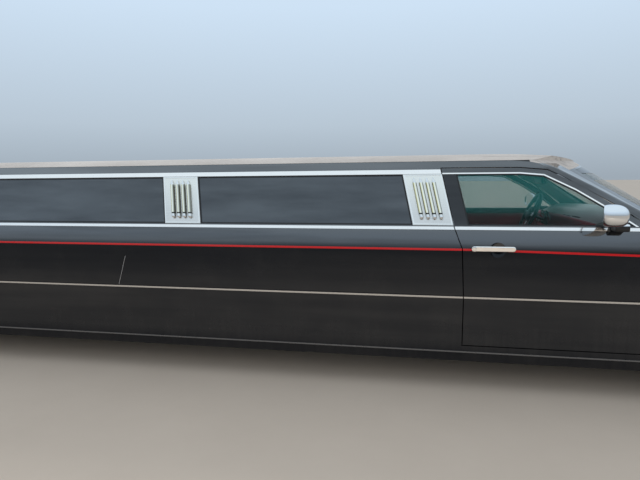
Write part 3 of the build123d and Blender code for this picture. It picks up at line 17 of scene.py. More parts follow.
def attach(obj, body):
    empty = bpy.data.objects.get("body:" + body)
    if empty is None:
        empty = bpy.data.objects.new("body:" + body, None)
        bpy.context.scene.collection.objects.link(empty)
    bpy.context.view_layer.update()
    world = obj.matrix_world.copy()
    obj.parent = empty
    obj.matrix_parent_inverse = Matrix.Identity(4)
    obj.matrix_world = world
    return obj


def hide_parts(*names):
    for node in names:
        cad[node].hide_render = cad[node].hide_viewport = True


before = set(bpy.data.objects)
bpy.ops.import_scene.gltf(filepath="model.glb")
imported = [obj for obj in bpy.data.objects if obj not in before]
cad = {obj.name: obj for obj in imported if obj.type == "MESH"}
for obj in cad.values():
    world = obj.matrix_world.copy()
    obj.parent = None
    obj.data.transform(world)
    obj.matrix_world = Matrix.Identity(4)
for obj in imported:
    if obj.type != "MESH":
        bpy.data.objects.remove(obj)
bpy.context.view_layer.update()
scene = bpy.context.scene

# %% [markdown]
# ## Writing shaders as sums
# A node tree is easier to read as an expression. `Wire` wraps one output socket, and its
# operators add Math nodes. `Finish` starts a material and adds any other node by its type.

# %% A small language for node trees


class Wire:
    """One value on its way through a node tree."""

    def __init__(self, finish, socket):
        self.finish = finish
        self.socket = socket

    def _math(self, operation, other, swap=False):
        values = (other, self) if swap else (self, other)
        return self.finish.add("Math", {"operation": operation}, {0: values[0], 1: values[1]})

    def __add__(self, other):
        return self._math("ADD", other)

    def __sub__(self, other):
        return self._math("SUBTRACT", other)

    def __rsub__(self, other):
        return self._math("SUBTRACT", other, swap=True)

    def __mul__(self, other):
        return self._math("MULTIPLY", other)

    def __truediv__(self, other):
        return self._math("DIVIDE", other)

    def __gt__(self, other):
        return self._math("GREATER_THAN", other)

    def __lt__(self, other):
        return self._math("LESS_THAN", other)

    def most(self, other):
        """The larger of two values."""
        return self._math("MAXIMUM", other)

    def only(self, operation):
        """A Math node on this value alone, such as its sign."""
        return self.finish.add("Math", {"operation": operation}, {0: self})

    def part(self, index):
        """One of a vector's three numbers."""
        return self.finish.add("SeparateXYZ", inputs={0: self}, output=index)


class Finish:
    """A material, made node by node."""

    def __init__(self, name, **settings):
        self.material = bpy.data.materials.new(name)
        self.material.use_nodes = True
        self.tree = self.material.node_tree
        self.tree.nodes.clear()
        self.surface = self.tree.nodes.new("ShaderNodeBsdfPrincipled")
        self.out = self.tree.nodes.new("ShaderNodeOutputMaterial")
        self.tree.links.new(self.surface.outputs[0], self.out.inputs[0])
        self.set(**settings)

    def set(self, **settings):
        """Fill the surface shader's sockets, named with underscores for spaces."""
        for key, value in settings.items():
            self._fill(self.surface.inputs[key.replace("_", " ")], value)
        return self

    def _fill(self, socket, value):
        if isinstance(value, Wire):
            self.tree.links.new(value.socket, socket)
        elif isinstance(value, tuple) and len(value) == 3 and socket.type == "RGBA":
            socket.default_value = (*value, 1.0)
        else:
            socket.default_value = value

    def add(self, kind, settings=None, inputs=None, output=0):
        """Add a node of a type, with its settings and its inputs, and return one output."""
        node = self.tree.nodes.new("ShaderNode" + kind)
        for key, value in (settings or {}).items():
            if key == "stops":
                ramp = node.color_ramp
                while len(ramp.elements) < len(value):
                    ramp.elements.new(0.5)
                for element, (place, colour) in zip(ramp.elements, value):
                    element.position = place
                    element.color = (*colour, 1.0)
            else:
                setattr(node, key, value)
        for key, value in (inputs or {}).items():
            self._fill(node.inputs[key], value)
        return Wire(self, node.outputs[output])

    def place(self):
        """Object coordinates, which are the car's own metres, as a vector and as x, y and z."""
        vector = self.add("TexCoord", output=3)
        return vector, *(vector.part(index) for index in range(3))

    def stretched(self, vector, x, y, z):
        """The vector scaled along each axis, for grain that runs one way."""
        return self.add("Mapping", inputs={"Vector": vector, "Scale": (x, y, z)})

    def noise(self, vector, scale, detail=3.0, rough=0.5):
        """Soft noise from 0 to 1."""
        inputs = {"Vector": vector, "Scale": scale, "Detail": detail, "Roughness": rough}
        return self.add("TexNoise", inputs=inputs)

    def clamp(self, value, low, high, to_low=0.0, to_high=1.0):
        """Map a range of values to another and stop at its ends."""
        return self.add("MapRange", inputs=dict(enumerate((value, low, high, to_low, to_high))))

    def between(self, value, low, high):
        """1 where the value lies between two limits and 0 elsewhere."""
        return (value > low) * (value < high)

    def mix(self, factor, first, second):
        """Blend two colours."""
        node = self.tree.nodes.new("ShaderNodeMix")
        node.data_type = "RGBA"
        self._fill(node.inputs[0], factor)
        self._fill(node.inputs[6], first)
        self._fill(node.inputs[7], second)
        return Wire(self, node.outputs[2])

    def facing(self):
        """The face's own normal, in the car's axes."""
        return self.add("NewGeometry", output=1)

    def bump(self, height, strength, distance):
        """A normal pushed in and out by a height."""
        inputs = {"Strength": strength, "Distance": distance, "Height": height}
        return self.add("Bump", inputs=inputs)

    def done(self, colour, rough, normal=None):
        """Set the three things every finish has, and hand over the material."""
        self.set(Base_Color=colour, Roughness=rough)
        if normal is not None:
            self.set(Normal=normal)
        return self.material


def wear(material, *names):
    """Give CAD nodes a finish."""
    for name in names:
        slots = cad[name].data.materials
        slots.clear()
        slots.append(material)


print("finishes are written with", Wire.__name__, "and", Finish.__name__)

# %% [markdown]
# ## Black paint
# The paint is near black with a clear coat. Dust settles low on the body, a red pinstripe runs
# the whole side just below the belt, and one thin scratch crosses the middle of the right side.
# All of it could be cut into the panels, but stripe, dust and scratch only change colour and
# roughness, so one function paints every panel. Its switches add the stripe with the cabin's
# wine lining, the pale lining of the roof rails, or the bumpers' plastic skirt.

# %% Black paint with stripe, dust and scratch


def corners_of(name, *ends):
    """A name with each end and side of the car after it."""
    return [f"{name}_{end}_{side}" for end in ends or ("front", "rear") for side in ("left", "right")]


STRIPE_LOW = 0.8885
STRIPE_HIGH = 0.9015
STRIPE_FALL = 0.020
LEAN = 0.225
BELT = 1.036
FILLER_X, FILLER_Z = -3.76, 0.80
SCRATCH_LOW = (-0.536, 0.606)
SCRATCH_HIGH = (-0.477, 0.812)


def side_paint(name, striped, lined=False, bumper=False):
    """Gloss black paint; striped, with a pale lining, or with a bumper's plastic skirt."""
    finish = Finish(name, Coat_Roughness=0.025, Coat_IOR=2.25, Specular_IOR_Level=0.1)
    where, x, y, z = finish.place()
    flake = finish.noise(where, 900.0, 1.0)
    colour = finish.mix(flake, (0.003, 0.004, 0.006), (0.006, 0.008, 0.012))
    smudge = finish.clamp(finish.noise(where, 2.3, 6.0, 0.65), 0.42, 0.75)
    low = finish.clamp(z, 0.75, 0.2)
    dust = finish.clamp(smudge * 0.6 + low * 0.75, 0.2, 1.3, 0.0, 0.10)
    gloss = finish.clamp(z, 0.885, 0.93, 0.08, 1.0) + finish.clamp(z, 0.78, 0.58, 0.0, 0.13)
    gloss = gloss * finish.clamp(z, 0.25, 0.32, 0.25, 1.0) * finish.clamp(z, 1.03, 1.06, 1.0, 0.78)
    at_belt = x + (z - BELT) * LEAN
    post = finish.between(at_belt, 1.728, 1.84) + finish.between(at_belt, -1.875, -1.808)
    post = post * finish.between(z, 1.037, 1.3535)
    streak = finish.noise(finish.stretched(where, 14.0, 1.0, 0.8), 3.0, 4.0)
    haze = finish.noise(finish.stretched(where, 0.5, 1.0, 9.0), 1.3, 4.0, 0.55)
    gloss = gloss * finish.clamp(haze, 0.3, 0.7, 0.72, 1.22)
    gloss = finish.clamp(gloss, 0.0, 1.0)
    coat = gloss if lined else gloss * (1.0 - post * 0.62)
    dust = dust * finish.clamp(streak, 0.25, 0.7, 0.55, 1.0)
    colour = finish.mix(dust, colour, (0.20, 0.18, 0.155))
    rough = dust * 0.9 + finish.clamp(smudge, 0.0, 1.0, 0.06, 0.13)
    if striped:
        across = y.only("ABSOLUTE")
        level = z + finish.clamp(x, 1.85, 4.2, 0.0, 2.35 * STRIPE_FALL)
        cabin = finish.between(x, -3.3, 3.0)
        outer = (across > 0.92).most((1.0 - cabin) * (across > 0.84))
        stripe = finish.between(level, STRIPE_LOW, STRIPE_HIGH) * outer
        colour = finish.mix(stripe, colour, (0.56, 0.010, 0.014))
        slope = (SCRATCH_HIGH[0] - SCRATCH_LOW[0]) / (SCRATCH_HIGH[1] - SCRATCH_LOW[1])
        wander = finish.noise(where, 60.0, 2.0) * 0.004
        offset = x - (z - SCRATCH_LOW[1]) * slope - SCRATCH_LOW[0] - wander + 0.002
        line = finish.between(offset, -0.0011, 0.0011) * finish.between(z, SCRATCH_LOW[1], SCRATCH_HIGH[1])
        scratch = line * (y < 0.0)
        colour = finish.mix(scratch, colour, (0.42, 0.41, 0.40))
        rough = rough + scratch * 0.4
        inner = finish.clamp(finish.facing().part(1) * y.only("SIGN"), -0.5, -0.7)
        nap = finish.noise(where, 700.0, 3.0, 0.6)
        boot = finish.clamp(x, -3.38, -3.42)
        bay = x > 2.93
        wine_cloth = finish.mix(nap, (0.07, 0.010, 0.012), (0.12, 0.018, 0.02))
        lining = finish.mix(boot + bay, wine_cloth, (0.02, 0.02, 0.021))
        colour = finish.mix(inner, colour, lining)
        rough = rough * (1.0 - inner) + inner * 0.7
        ring = ((x - FILLER_X) * (x - FILLER_X) + (z - FILLER_Z) * (z - FILLER_Z)).only("SQRT")
        colour = finish.mix(finish.between(ring, 0.078, 0.0805) * (y > 0.0), colour, (0.001, 0.001, 0.001))
        coat = coat * (1.0 - inner)
    ripple = finish.noise(where, 320.0, 2.0)
    wave = finish.noise(where, 1.6, 1.0)
    normal = finish.bump(ripple * 0.08 + wave, 0.10, 0.004)
    if lined:
        inner = finish.clamp(finish.facing().part(1) * y.only("SIGN"), -0.15, -0.3) * (z > 1.0)
        colour = finish.mix(inner, colour, (0.30, 0.30, 0.29))
        coat = coat * (1.0 - inner)
        rough = rough + inner * 0.6
    if bumper:
        skirt = finish.clamp(z, 0.302, 0.298)
        grit = finish.noise(where, 500.0, 3.0, 0.6)
        colour = finish.mix(skirt, colour, finish.mix(grit, (0.012, 0.012, 0.013), (0.030, 0.029, 0.028)))
        rough = rough + skirt * 0.45
        seam = finish.between(z, 0.6985, 0.7025)
        colour = finish.mix(seam, colour, (0.001, 0.001, 0.001))
        coat = coat * (1.0 - skirt) * (1.0 - seam)
    return finish.set(Coat_Weight=coat).done(colour, rough, normal)


striped_paint = side_paint("black_paint_striped", True)
plain_paint = side_paint("black_paint", False)
wear(striped_paint, "front_fenders", "side_panels", "rear_quarters")
wear(striped_paint, *corners_of("door"))
wear(plain_paint, "hood", "trunk_lid", "sills")
wear(side_paint("black_paint_lined", False, lined=True), "roof_rails")
wear(side_paint("black_paint_bumper", False, bumper=True), "front_bumper", "rear_bumper")
print("stripe from", STRIPE_LOW, "to", STRIPE_HIGH, "metres above the ground")

# %% [markdown]
# ## Faded roof
# Sun has turned the roof's paint to a matt chalk of beige and grey. Ragged dark streaks remain
# near the front edge, where the clear coat still holds. Two noises, one of them drawn out along
# the car, decide where chalk gives way to the dark paint under it.

# %% Roof paint


def faded_roof():
    """Chalky sun-bleached paint with dark remains near the windshield."""
    finish = Finish("faded_roof_paint", Metallic=0.0)
    where, x, y, z = finish.place()
    cloud = finish.noise(where, 1.7, 7.0, 0.6)
    fine = finish.noise(where, 38.0, 5.0, 0.7)
    tone = finish.clamp(cloud * 0.7 + fine * 0.3, 0.3, 0.7)
    chalk = finish.mix(tone, (0.44, 0.41, 0.378), (0.65, 0.617, 0.575))
    run = finish.noise(finish.stretched(where, 0.45, 11.0, 11.0), 2.6, 6.0, 0.62)
    across = y.only("ABSOLUTE")
    front = finish.clamp(x, 1.4, 2.5) * finish.clamp(across, 0.2, 0.62, 0.6, 1.0)
    edge = finish.clamp(run + front * 0.20, 0.72, 0.92, 0.0, 0.8)
    colour = finish.mix(edge, chalk, (0.022, 0.022, 0.025))
    ditch = (z < 1.4375) * (across > 0.60) * (x < 2.2)
    under = finish.clamp(finish.facing().part(2), -0.3, -0.1, 1.0, 0.0)
    colour = finish.mix(ditch, colour, (0.010, 0.010, 0.012))
    colour = finish.mix(under, colour, (0.16, 0.15, 0.14))
    rough = finish.clamp(edge, 0.0, 1.0, 0.86, 0.35)
    normal = finish.bump(fine * 0.5 + cloud, 0.18, 0.003)
    return finish.done(colour, rough, normal)


wear(faded_roof(), "roof")
print("the roof wears", cad["roof"].data.materials[0].name)

# %% [markdown]
# ## Bright metal
# The opera panels are brushed stainless sheet with polished rods: the grain is noise drawn out along
# the car, which blurs reflections one way. The rods could be pieces of their own, but the model
# already has them, so their colour follows how far the surface stands out. Across each rod a ramp
# paints a reflection, pale down its middle over a faint gold tint, and painted shade on its sides and
# at its foot; the sheet is painted paler towards its top as a reflection. Bands, strips and handles
# are chrome, which only needs small changes in roughness to look handled.

# %% Stainless and chrome
ROD_PITCH = 0.04
ROD_MIDDLES = (1.610, -0.0505, -1.6915)
# Painted reflection and shade across each rod: dark at its sides, cream to white down its middle, over a
# faint gold tint.
ROD_REFLECTION_AND_SHADE = (
    (0.0, (0.16, 0.15, 0.10)), (0.20, (0.62, 0.54, 0.28)), (0.42, (0.95, 0.86, 0.55)),
    (0.62, (1.0, 0.98, 0.90)), (0.80, (0.62, 0.60, 0.50)), (1.0, (0.30, 0.30, 0.26)),
)


def polished(name, tint, low, high):
    """Chrome with faint smears."""
    finish = Finish(name, Metallic=1.0)
    where = finish.place()[0]
    smear = finish.noise(where, 14.0, 4.0)
    colour = finish.mix(smear, tint, tuple(0.92 * part for part in tint))
    rough = finish.clamp(smear, 0.3, 0.7, low, high)
    return finish.done(colour, rough)


def panel_metal():
    """Brushed panels, painted paler towards the top as a reflection, whose rods carry a painted reflection
    and shade over a faint gold tint, with chrome ends, a dark ring near the bottom and painted shade at
    their feet.
    """
    finish = Finish("panel_metal", Metallic=1.0)
    where, x, y, z = finish.place()
    across = y.only("ABSOLUTE")
    out = across + (z - BELT) * 0.43 - 0.915
    rod = finish.clamp(out, 0.0062, 0.0085)
    ring = finish.between(z, 1.1075, 1.1165)
    end = (z < 1.106).most(z > 1.302)
    lines = finish.noise(finish.stretched(where, 0.05, 4.0, 4.0), 90.0, 4.0, 0.7)
    mottle = finish.noise(where, 5.0, 4.0)
    sheet = finish.mix(mottle, (0.68, 0.66, 0.63), (0.80, 0.77, 0.73))
    at_belt = x + (z - BELT) * LEAN
    front, centre, rear = ROD_MIDDLES
    middle = (at_belt > 1.0) * front + finish.between(at_belt, -1.0, 1.0) * centre
    middle = middle + (at_belt < -1.0) * rear
    turns = ((at_belt - middle) / ROD_PITCH + 50.0).only("FRACT")
    round_rod = finish.clamp((turns - 0.5) * ROD_PITCH * (0.0 - y.only("SIGN")), -0.012, 0.012)
    # painted reflection and shade, from one side of the rod through its middle to the other side
    rod_reflection_and_shade = finish.add("ValToRGB", {"stops": ROD_REFLECTION_AND_SHADE}, {0: round_rod})
    # painted reflection: the sheet turns paler towards its top
    sheet = finish.mix(finish.clamp(z, 1.10, 1.30), sheet, (0.90, 0.87, 0.80))
    bar = finish.mix(end, rod_reflection_and_shade, (0.80, 0.80, 0.79))
    bar = finish.mix(ring, bar, (0.06, 0.055, 0.05))
    colour = finish.mix(rod, sheet, bar)
    shade = finish.clamp(out, 0.0040, 0.0062) * (1.0 - rod)
    colour = finish.mix(shade, colour, (0.10, 0.10, 0.07))
    rough = finish.clamp(lines, 0.3, 0.7, 0.24, 0.40) * (1.0 - rod) + rod * 0.07
    normal = finish.bump(lines * (1.0 - rod), 0.06, 0.0006)
    return finish.done(colour, rough, normal)


def strip_chrome():
    """Chrome strips: bright at the belt and on the handles, duller on the moulding, and rougher at the sill,
    whose strip is darkened with painted shade.
    """
    finish = Finish("strip_chrome", Metallic=1.0)
    where, _, _, z = finish.place()
    smear = finish.noise(where, 14.0, 4.0)
    low = finish.clamp(z, 0.80, 0.62)
    lip = finish.between(z, 0.6055, 0.62) * low
    # painted shade: the strip at the sill is darkened near the ground
    foot = finish.clamp(z, 0.32, 0.27)
    colour = finish.mix(smear, (1.0, 0.95, 0.90), (0.95, 0.90, 0.85))
    colour = finish.mix(low, colour, (0.62, 0.61, 0.60))
    colour = finish.mix(lip, colour, (0.03, 0.03, 0.035))
    colour = finish.mix(foot, colour, (0.26, 0.27, 0.29))
    rough = finish.clamp(smear, 0.3, 0.7, 0.05, 0.12) + foot * 0.2
    return finish.done(colour, rough)


chrome = polished("chrome", (0.92, 0.90, 0.87), 0.04, 0.12)
wear(panel_metal(), "opera_panels")
wear(strip_chrome(), "bright_bands", *corners_of("door_trim"))
wear(chrome, "grille")
print("rods stand", round(1000 * ROD_PITCH), "mm apart")

# %% [markdown]
# ## Glass
# The stretch's windows are so dark that they read as blue-black mirrors. The windshield and the
# front doors' panes are clear with a green cast, so the dashboard shows through them. Thin glass
# is drawn as a gloss layer over transparency, which stays bright and quick to render.

# %% Glass


def pane(name, tint, alpha, rough, **more):
    """Window glass with a chosen share of see-through."""
    finish = Finish(name, **more)
    where = finish.place()[0]
    film = finish.noise(where, 3.0, 5.0, 0.6)
    colour = finish.mix(finish.clamp(film, 0.35, 0.75), tint, tuple(part * 1.5 + 0.004 for part in tint))
    cover = finish.clamp(film, 0.3, 0.8, alpha, min(1.0, alpha + 0.05))
    return finish.set(Alpha=cover).done(colour, rough)


def privacy_glass():
    """Glass so dark that it reads as a blue-black mirror, with the haze of an old tint film."""
    finish = Finish("privacy_glass", IOR=1.72, Coat_IOR=1.6, Coat_Roughness=0.12)
    where = finish.place()[0]
    film = finish.noise(finish.stretched(where, 0.6, 1.0, 4.0), 2.2, 5.0, 0.6)
    colour = finish.mix(finish.clamp(film, 0.35, 0.75), (0.004, 0.010, 0.019), (0.010, 0.020, 0.032))
    rough = finish.clamp(film, 0.3, 0.7, 0.02, 0.09)
    return finish.set(Coat_Weight=finish.clamp(film, 0.34, 0.66, 0.15, 0.80)).done(colour, rough)


def shaded_pane():
    """Clear door glass, greener towards its top."""
    finish = Finish("clear_glass", IOR=1.32, Roughness=0.01)
    where, _, _, z = finish.place()
    film = finish.noise(where, 3.0, 5.0, 0.6)
    shade = finish.clamp(z, 1.09, 1.17)
    colour = finish.mix(shade, (0.014, 0.034, 0.034), (0.035, 0.25, 0.24))
    return finish.set(Base_Color=colour, Alpha=finish.clamp(film, 0.3, 0.8, 0.22, 0.26)).material


def screen():
    """The windshield's and rear window's glass, with the black border printed round it."""
    finish = Finish("screen_glass", IOR=1.5, Roughness=0.01)
    where, _, y, z = finish.place()
    film = finish.noise(where, 3.0, 5.0, 0.6)
    across = y.only("ABSOLUTE")
    edge = 0.735 - (z - BELT) * 0.258
    border = (across > edge - 0.06).most(z > 1.352).most(z < 1.066)
    colour = finish.mix(border, (0.05, 0.105, 0.095), (0.004, 0.005, 0.007))
    cover = finish.clamp(film, 0.3, 0.8, 0.22, 0.27)
    return finish.set(Base_Color=colour, Alpha=border.most(cover)).material


wear(privacy_glass(), "side_windows", *corners_of("door_glass", "rear"))
wear(shaded_pane(), *corners_of("door_glass", "front"))
wear(screen(), "windshield", "rear_window")
print("dark glass on the stretch and the rear doors, clear glass in front")

# %% [markdown]
# ## Lamps, plastics, rubber and leather
# The remaining finishes share a pattern: a colour that wanders a little, a fine bump at the
# real scale of the grain, and a roughness that follows it.

# %% Remaining finishes


def grained(name, dark, light, scale, rough, depth, **more):
    """Any plain material whose colour wanders and whose surface has a fine grain."""
    finish = Finish(name, **more)
    where = finish.place()[0]
    tone = finish.noise(where, 6.0, 5.0, 0.6)
    grain = finish.noise(where, scale, 3.0, 0.6)
    colour = finish.mix(finish.clamp(tone, 0.3, 0.7), dark, light)
    finish.set(Base_Color=colour, Roughness=finish.clamp(grain, 0.3, 0.7, rough, rough + 0.12))
    return finish.set(Normal=finish.bump(grain, 0.4, depth)).material


tyre_rubber = grained("tyre_rubber", (0.012, 0.012, 0.013), (0.032, 0.030, 0.028), 300.0, 0.72, 0.0006)
wheel_metal = grained(
    "wheel_metal", (0.55, 0.56, 0.58), (0.70, 0.71, 0.73), 400.0, 0.16, 0.0001, Metallic=1.0,
)
chassis_paint = grained("chassis_paint", (0.012, 0.012, 0.013), (0.05, 0.045, 0.04), 160.0, 0.5, 0.0008)
cast_metal = grained(
    "cast_metal", (0.13, 0.125, 0.12), (0.24, 0.23, 0.22), 260.0, 0.42, 0.0006, Metallic=0.9,
)
exhaust_steel = grained(
    "exhaust_steel", (0.30, 0.27, 0.23), (0.50, 0.47, 0.43), 200.0, 0.32, 0.0004, Metallic=1.0,
)
trim_plastic = grained("trim_plastic", (0.010, 0.010, 0.011), (0.020, 0.020, 0.022), 520.0, 0.46, 0.0004)
dash_plastic = grained("dash_plastic", (0.055, 0.052, 0.05), (0.085, 0.08, 0.077), 480.0, 0.5, 0.0005)
red_leather = grained("red_leather", (0.085, 0.012, 0.012), (0.15, 0.022, 0.02), 240.0, 0.38, 0.0008)
lamp_clear = pane("lamp_cover", (0.50, 0.52, 0.55), 0.13, 0.02, IOR=1.5)


def tail_lamp():
    """A red lens moulded in small prisms, with a clear reversing band and dark joints."""
    finish = Finish("lamp_red", IOR=1.5)
    where, _, y, z = finish.place()
    across = y.only("ABSOLUTE")
    rows = (z / 0.009).only("FRACT")
    columns = (across / 0.012).only("FRACT")
    prism = finish.clamp(rows, 0.0, 1.0) * 0.5 + finish.clamp(columns, 0.0, 1.0) * 0.5
    colour = finish.mix(prism, (0.20, 0.003, 0.004), (0.52, 0.012, 0.014))
    clear = finish.between(z, 0.800, 0.838) * finish.between(across, 0.72, 0.845)
    colour = finish.mix(clear, colour, finish.mix(prism, (0.42, 0.42, 0.41), (0.80, 0.79, 0.77)))
    joint = finish.between(z, 0.796, 0.800) + finish.between(z, 0.838, 0.842)
    joint = joint + finish.between(z, 0.918, 0.922)
    colour = finish.mix(joint, colour, (0.02, 0.002, 0.002))
    film = finish.noise(where, 5.0, 4.0)
    rough = finish.clamp(film, 0.3, 0.7, 0.04, 0.10)
    return finish.done(colour, rough, finish.bump(prism, 0.25, 0.0012))


wear(tyre_rubber, *corners_of("tyre"))
wear(wheel_metal, *corners_of("rim"))
wear(chassis_paint, "wheel_houses", "front_subframe", "rear_axle", "driveshaft", "fuel_tank")


def floor_finish():
    """Underseal below, tufted carpet on what faces up inside the cabin."""
    finish = Finish("floor_carpet_and_underseal")
    where, x, _, _ = finish.place()
    tuft = finish.noise(where, 900.0, 3.0, 0.7)
    tone = finish.noise(where, 4.0, 5.0, 0.6)
    up = finish.clamp(finish.facing().part(2), 0.2, 0.5)
    up = up * finish.between(x, -4.1, 2.93)
    pile = finish.mix(tuft * 0.6 + tone * 0.4, (0.010, 0.009, 0.009), (0.050, 0.044, 0.042))
    seal = finish.mix(tone, (0.012, 0.012, 0.013), (0.05, 0.045, 0.04))
    colour = finish.mix(up, seal, pile)
    rough = finish.clamp(up, 0.0, 1.0, 0.55, 0.95)
    return finish.done(colour, rough, finish.bump(tuft, 0.5, 0.0014))


wear(floor_finish(), "floor_pan", "rear_floor")
wear(cast_metal, "engine", "knuckle_left", "knuckle_right")
wear(exhaust_steel, "exhaust")
wear(trim_plastic, "cowl", "divider", "steering_wheel")
wear(dash_plastic, "dashboard")
wear(red_leather, "front_seats", "rear_seats")
wear(lamp_clear, "headlamps")
wear(tail_lamp(), "tail_lamps")
print(len(cad), "nodes have their finish")

# %% [markdown]
# ## A bench for new pieces
# The model gives the car's panels. What follows adds the parts that a coachbuilder would fit
# afterwards. Each starts from a bmesh shape, is placed in the car's own metres and then rides on
# the body that carries it. Above the belt the side is one sloping plane, so a point on it is
# given by its place along the car and its height, plus how far it stands out.

# %% Points on the side and finished pieces
SIDE_ROWS = (
    (0.190, 0.925), (0.255, 0.942), (0.603, 0.951), (0.900, 0.945), (1.036, 0.915), (1.385, 0.765),
    (1.435, 0.690),
)
WELD = 0.00002
BOTH = (("left", 1.0), ("right", -1.0))
ACROSS = Vector((0.0, 1.0, 0.0))


def on_side(x, z, out, side):
    """A point on the side of the car, standing out from it along the side's slope."""
    for (low, near), (high, far) in zip(SIDE_ROWS, SIDE_ROWS[1:]):
        if z <= high:
            slope = (far - near) / (high - low)
            length = (1.0 + slope * slope) ** 0.5
            wide = near + slope * (z - low)
            return Vector((x, side * (wide + out / length), z - out * slope / length))
    raise ValueError("that height is above the side")


def leant(x, z):
    """A place given at the belt, moved back with the lean of the posts."""
    return x - LEAN * (z - BELT)


def fitted(name, shape, material, body="car_body", slot="black_plastic", soft_angle=35.0):
    """Turn a bmesh into a piece that rides on a body."""
    bmesh.ops.remove_doubles(shape, verts=shape.verts, dist=WELD)
    bmesh.ops.recalc_face_normals(shape, faces=shape.faces)
    mesh = bpy.data.meshes.new(name)
    shape.to_mesh(mesh)
    shape.free()
    mesh.shade_smooth()
    mesh.set_sharp_from_angle(angle=radians(soft_angle))
    mesh.materials.append(material)
    made = bpy.data.objects.new(name, mesh)
    scene.collection.objects.link(made)
    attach(made, body)
    return made


def softened(shape, verts, bevel, steps=2):
    """Round all the edges of these vertices, and return the new vertices."""
    edges = list({edge for vert in verts for edge in vert.link_edges})
    result = bmesh.ops.bevel(
        shape, geom=edges, offset=bevel, segments=steps, profile=0.5, affect="EDGES", material=-1,
        clamp_overlap=True,
    )
    return {vert for face in result["faces"] for vert in face.verts}


def brick(shape, low, high, bevel=0.0, steps=2, turn=None):
    """A box with softened edges, between two corners, turned about its middle if asked."""
    low, high = Vector(low), Vector(high)
    size = high - low
    made = bmesh.ops.create_cube(shape, size=1.0, matrix=Matrix.Diagonal((*size, 1.0)))["verts"]
    if bevel:
        made = connected(softened(shape, made, bevel, steps))
    if turn is not None:
        bmesh.ops.transform(shape, matrix=turn.to_4x4(), verts=made)
    bmesh.ops.translate(shape, vec=(low + high) / 2, verts=made)
    return made


def connected(verts):
    """All vertices that are joined to these."""
    found = set(verts)
    waiting = list(found)
    while waiting:
        vert = waiting.pop()
        others = {edge.other_vert(vert) for edge in vert.link_edges} - found
        found |= others
        waiting.extend(others)
    return list(found)


def outline_face(shape, corners):
    """A face with the given corners and its normal worked out."""
    face = shape.faces.new([shape.verts.new(corner) for corner in corners])
    face.normal_update()
    return face


def verts_of(result):
    """The vertices among what a bmesh operator made."""
    return [item for item in result["geom"] if isinstance(item, bmesh.types.BMVert)]


def plate(shape, corners, thick, bevel=0.0):
    """A flat outline given a thickness along its own normal."""
    face = outline_face(shape, corners)
    normal = face.normal.copy()
    verts = verts_of(bmesh.ops.extrude_face_region(shape, geom=[face]))
    bmesh.ops.translate(shape, vec=normal * thick, verts=verts)
    if bevel:
        softened(shape, connected(verts), bevel)


def rim_strip(shape, corners, width, thick):
    """A flat frame just inside an outline, with a thickness."""
    face = outline_face(shape, corners)
    inset = bmesh.ops.inset_region(
        shape, faces=[face], thickness=width, use_even_offset=True, use_boundary=True,
    )
    bmesh.ops.delete(shape, geom=[face], context="FACES_ONLY")
    bmesh.ops.solidify(shape, geom=inset["faces"], thickness=thick)


def turned(shape, profile, centre, axis, steps=48, start=(0.0, 0.0, 1.0)):
    """Spin a profile of (radius, height along the axis) points about an axis."""
    centre, axis, start = Vector(centre), Vector(axis).normalized(), Vector(start)
    verts = [shape.verts.new(centre + start * radius + axis * height) for radius, height in profile]
    edges = [shape.edges.new(pair) for pair in zip(verts, verts[1:])]
    bmesh.ops.spin(
        shape, geom=verts + edges, cent=centre, axis=axis, angle=2 * pi, steps=steps, use_merge=True,
    )
    bmesh.ops.remove_doubles(shape, verts=shape.verts, dist=WELD)


def looped(shape, points):
    """Points joined by edges in a closed loop; returns the edges."""
    verts = [shape.verts.new(point) for point in points]
    return [shape.edges.new(pair) for pair in zip(verts, verts[1:] + verts[:1])]


def skinned(shape, loops):
    """Join each loop of edges to the next and close both ends."""
    for first, second in zip(loops, loops[1:]):
        bmesh.ops.bridge_loops(shape, edges=first + second)
    for loop in (loops[0], loops[-1]):
        bmesh.ops.contextual_create(shape, geom=loop)


def bricks(name, material, rows, **ride):
    """A piece made only of boxes: each row gives two corners, a bevel and its steps."""
    shape = bmesh.new()
    for low, high, *how in rows:
        brick(shape, low, high, *how)
    return fitted(name, shape, material, **ride)


def tree_of(name):
    """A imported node's faces, ready to be met by rays."""
    mesh = cad[name].data
    faces = [face.vertices[:] for face in mesh.polygons]
    return BVHTree.FromPolygons([vert.co for vert in mesh.vertices], faces)


def met(tree, start, way, out=0.0):
    """Where a ray meets those faces, standing out from them."""
    hit, normal, _, _ = tree.ray_cast(Vector(start), Vector(way))
    return hit + normal * out


print("the side is", round(2 * SIDE_ROWS[2][1], 3), "m wide at the moulding")

# %% [markdown]
# ## Rubber seals and panel borders
# Real side glass sits in a black rubber channel. Here each channel is the outline of the pane,
# inset and given a thickness, so its corners are mitred as on the car. The opera panels get
# narrow polished borders the same way.

# %% Seals and borders
rubber = grained("seal_rubber", (0.006, 0.006, 0.007), (0.014, 0.014, 0.015), 420.0, 0.55, 0.0003)
GLASS_LOW, GLASS_HIGH = 1.0405, 1.3525
PANEL_LOW, PANEL_HIGH = 1.0425, 1.349
FIXED_WINDOWS = ((-1.571, -0.179), (0.078, 1.488))
PANELS = ((-1.812, -1.571), (-0.179, 0.078), (1.488, 1.732))
DOOR_PANES = {
    "front": (
        (1.817, 1.040), (1.7466, 1.3525), (2.130, 1.352), (2.268, 1.339), (2.440, 1.250), (2.620, 1.134),
        (2.750, 1.040),
    ),
    "rear": ((-1.853, 1.040), (-1.923, 1.3525), (-2.545, 1.352), (-2.612, 1.326), (-2.806, 1.040)),
}
SEAL, SEAL_THICK, SEAL_OUT = 0.009, 0.003, -0.0035


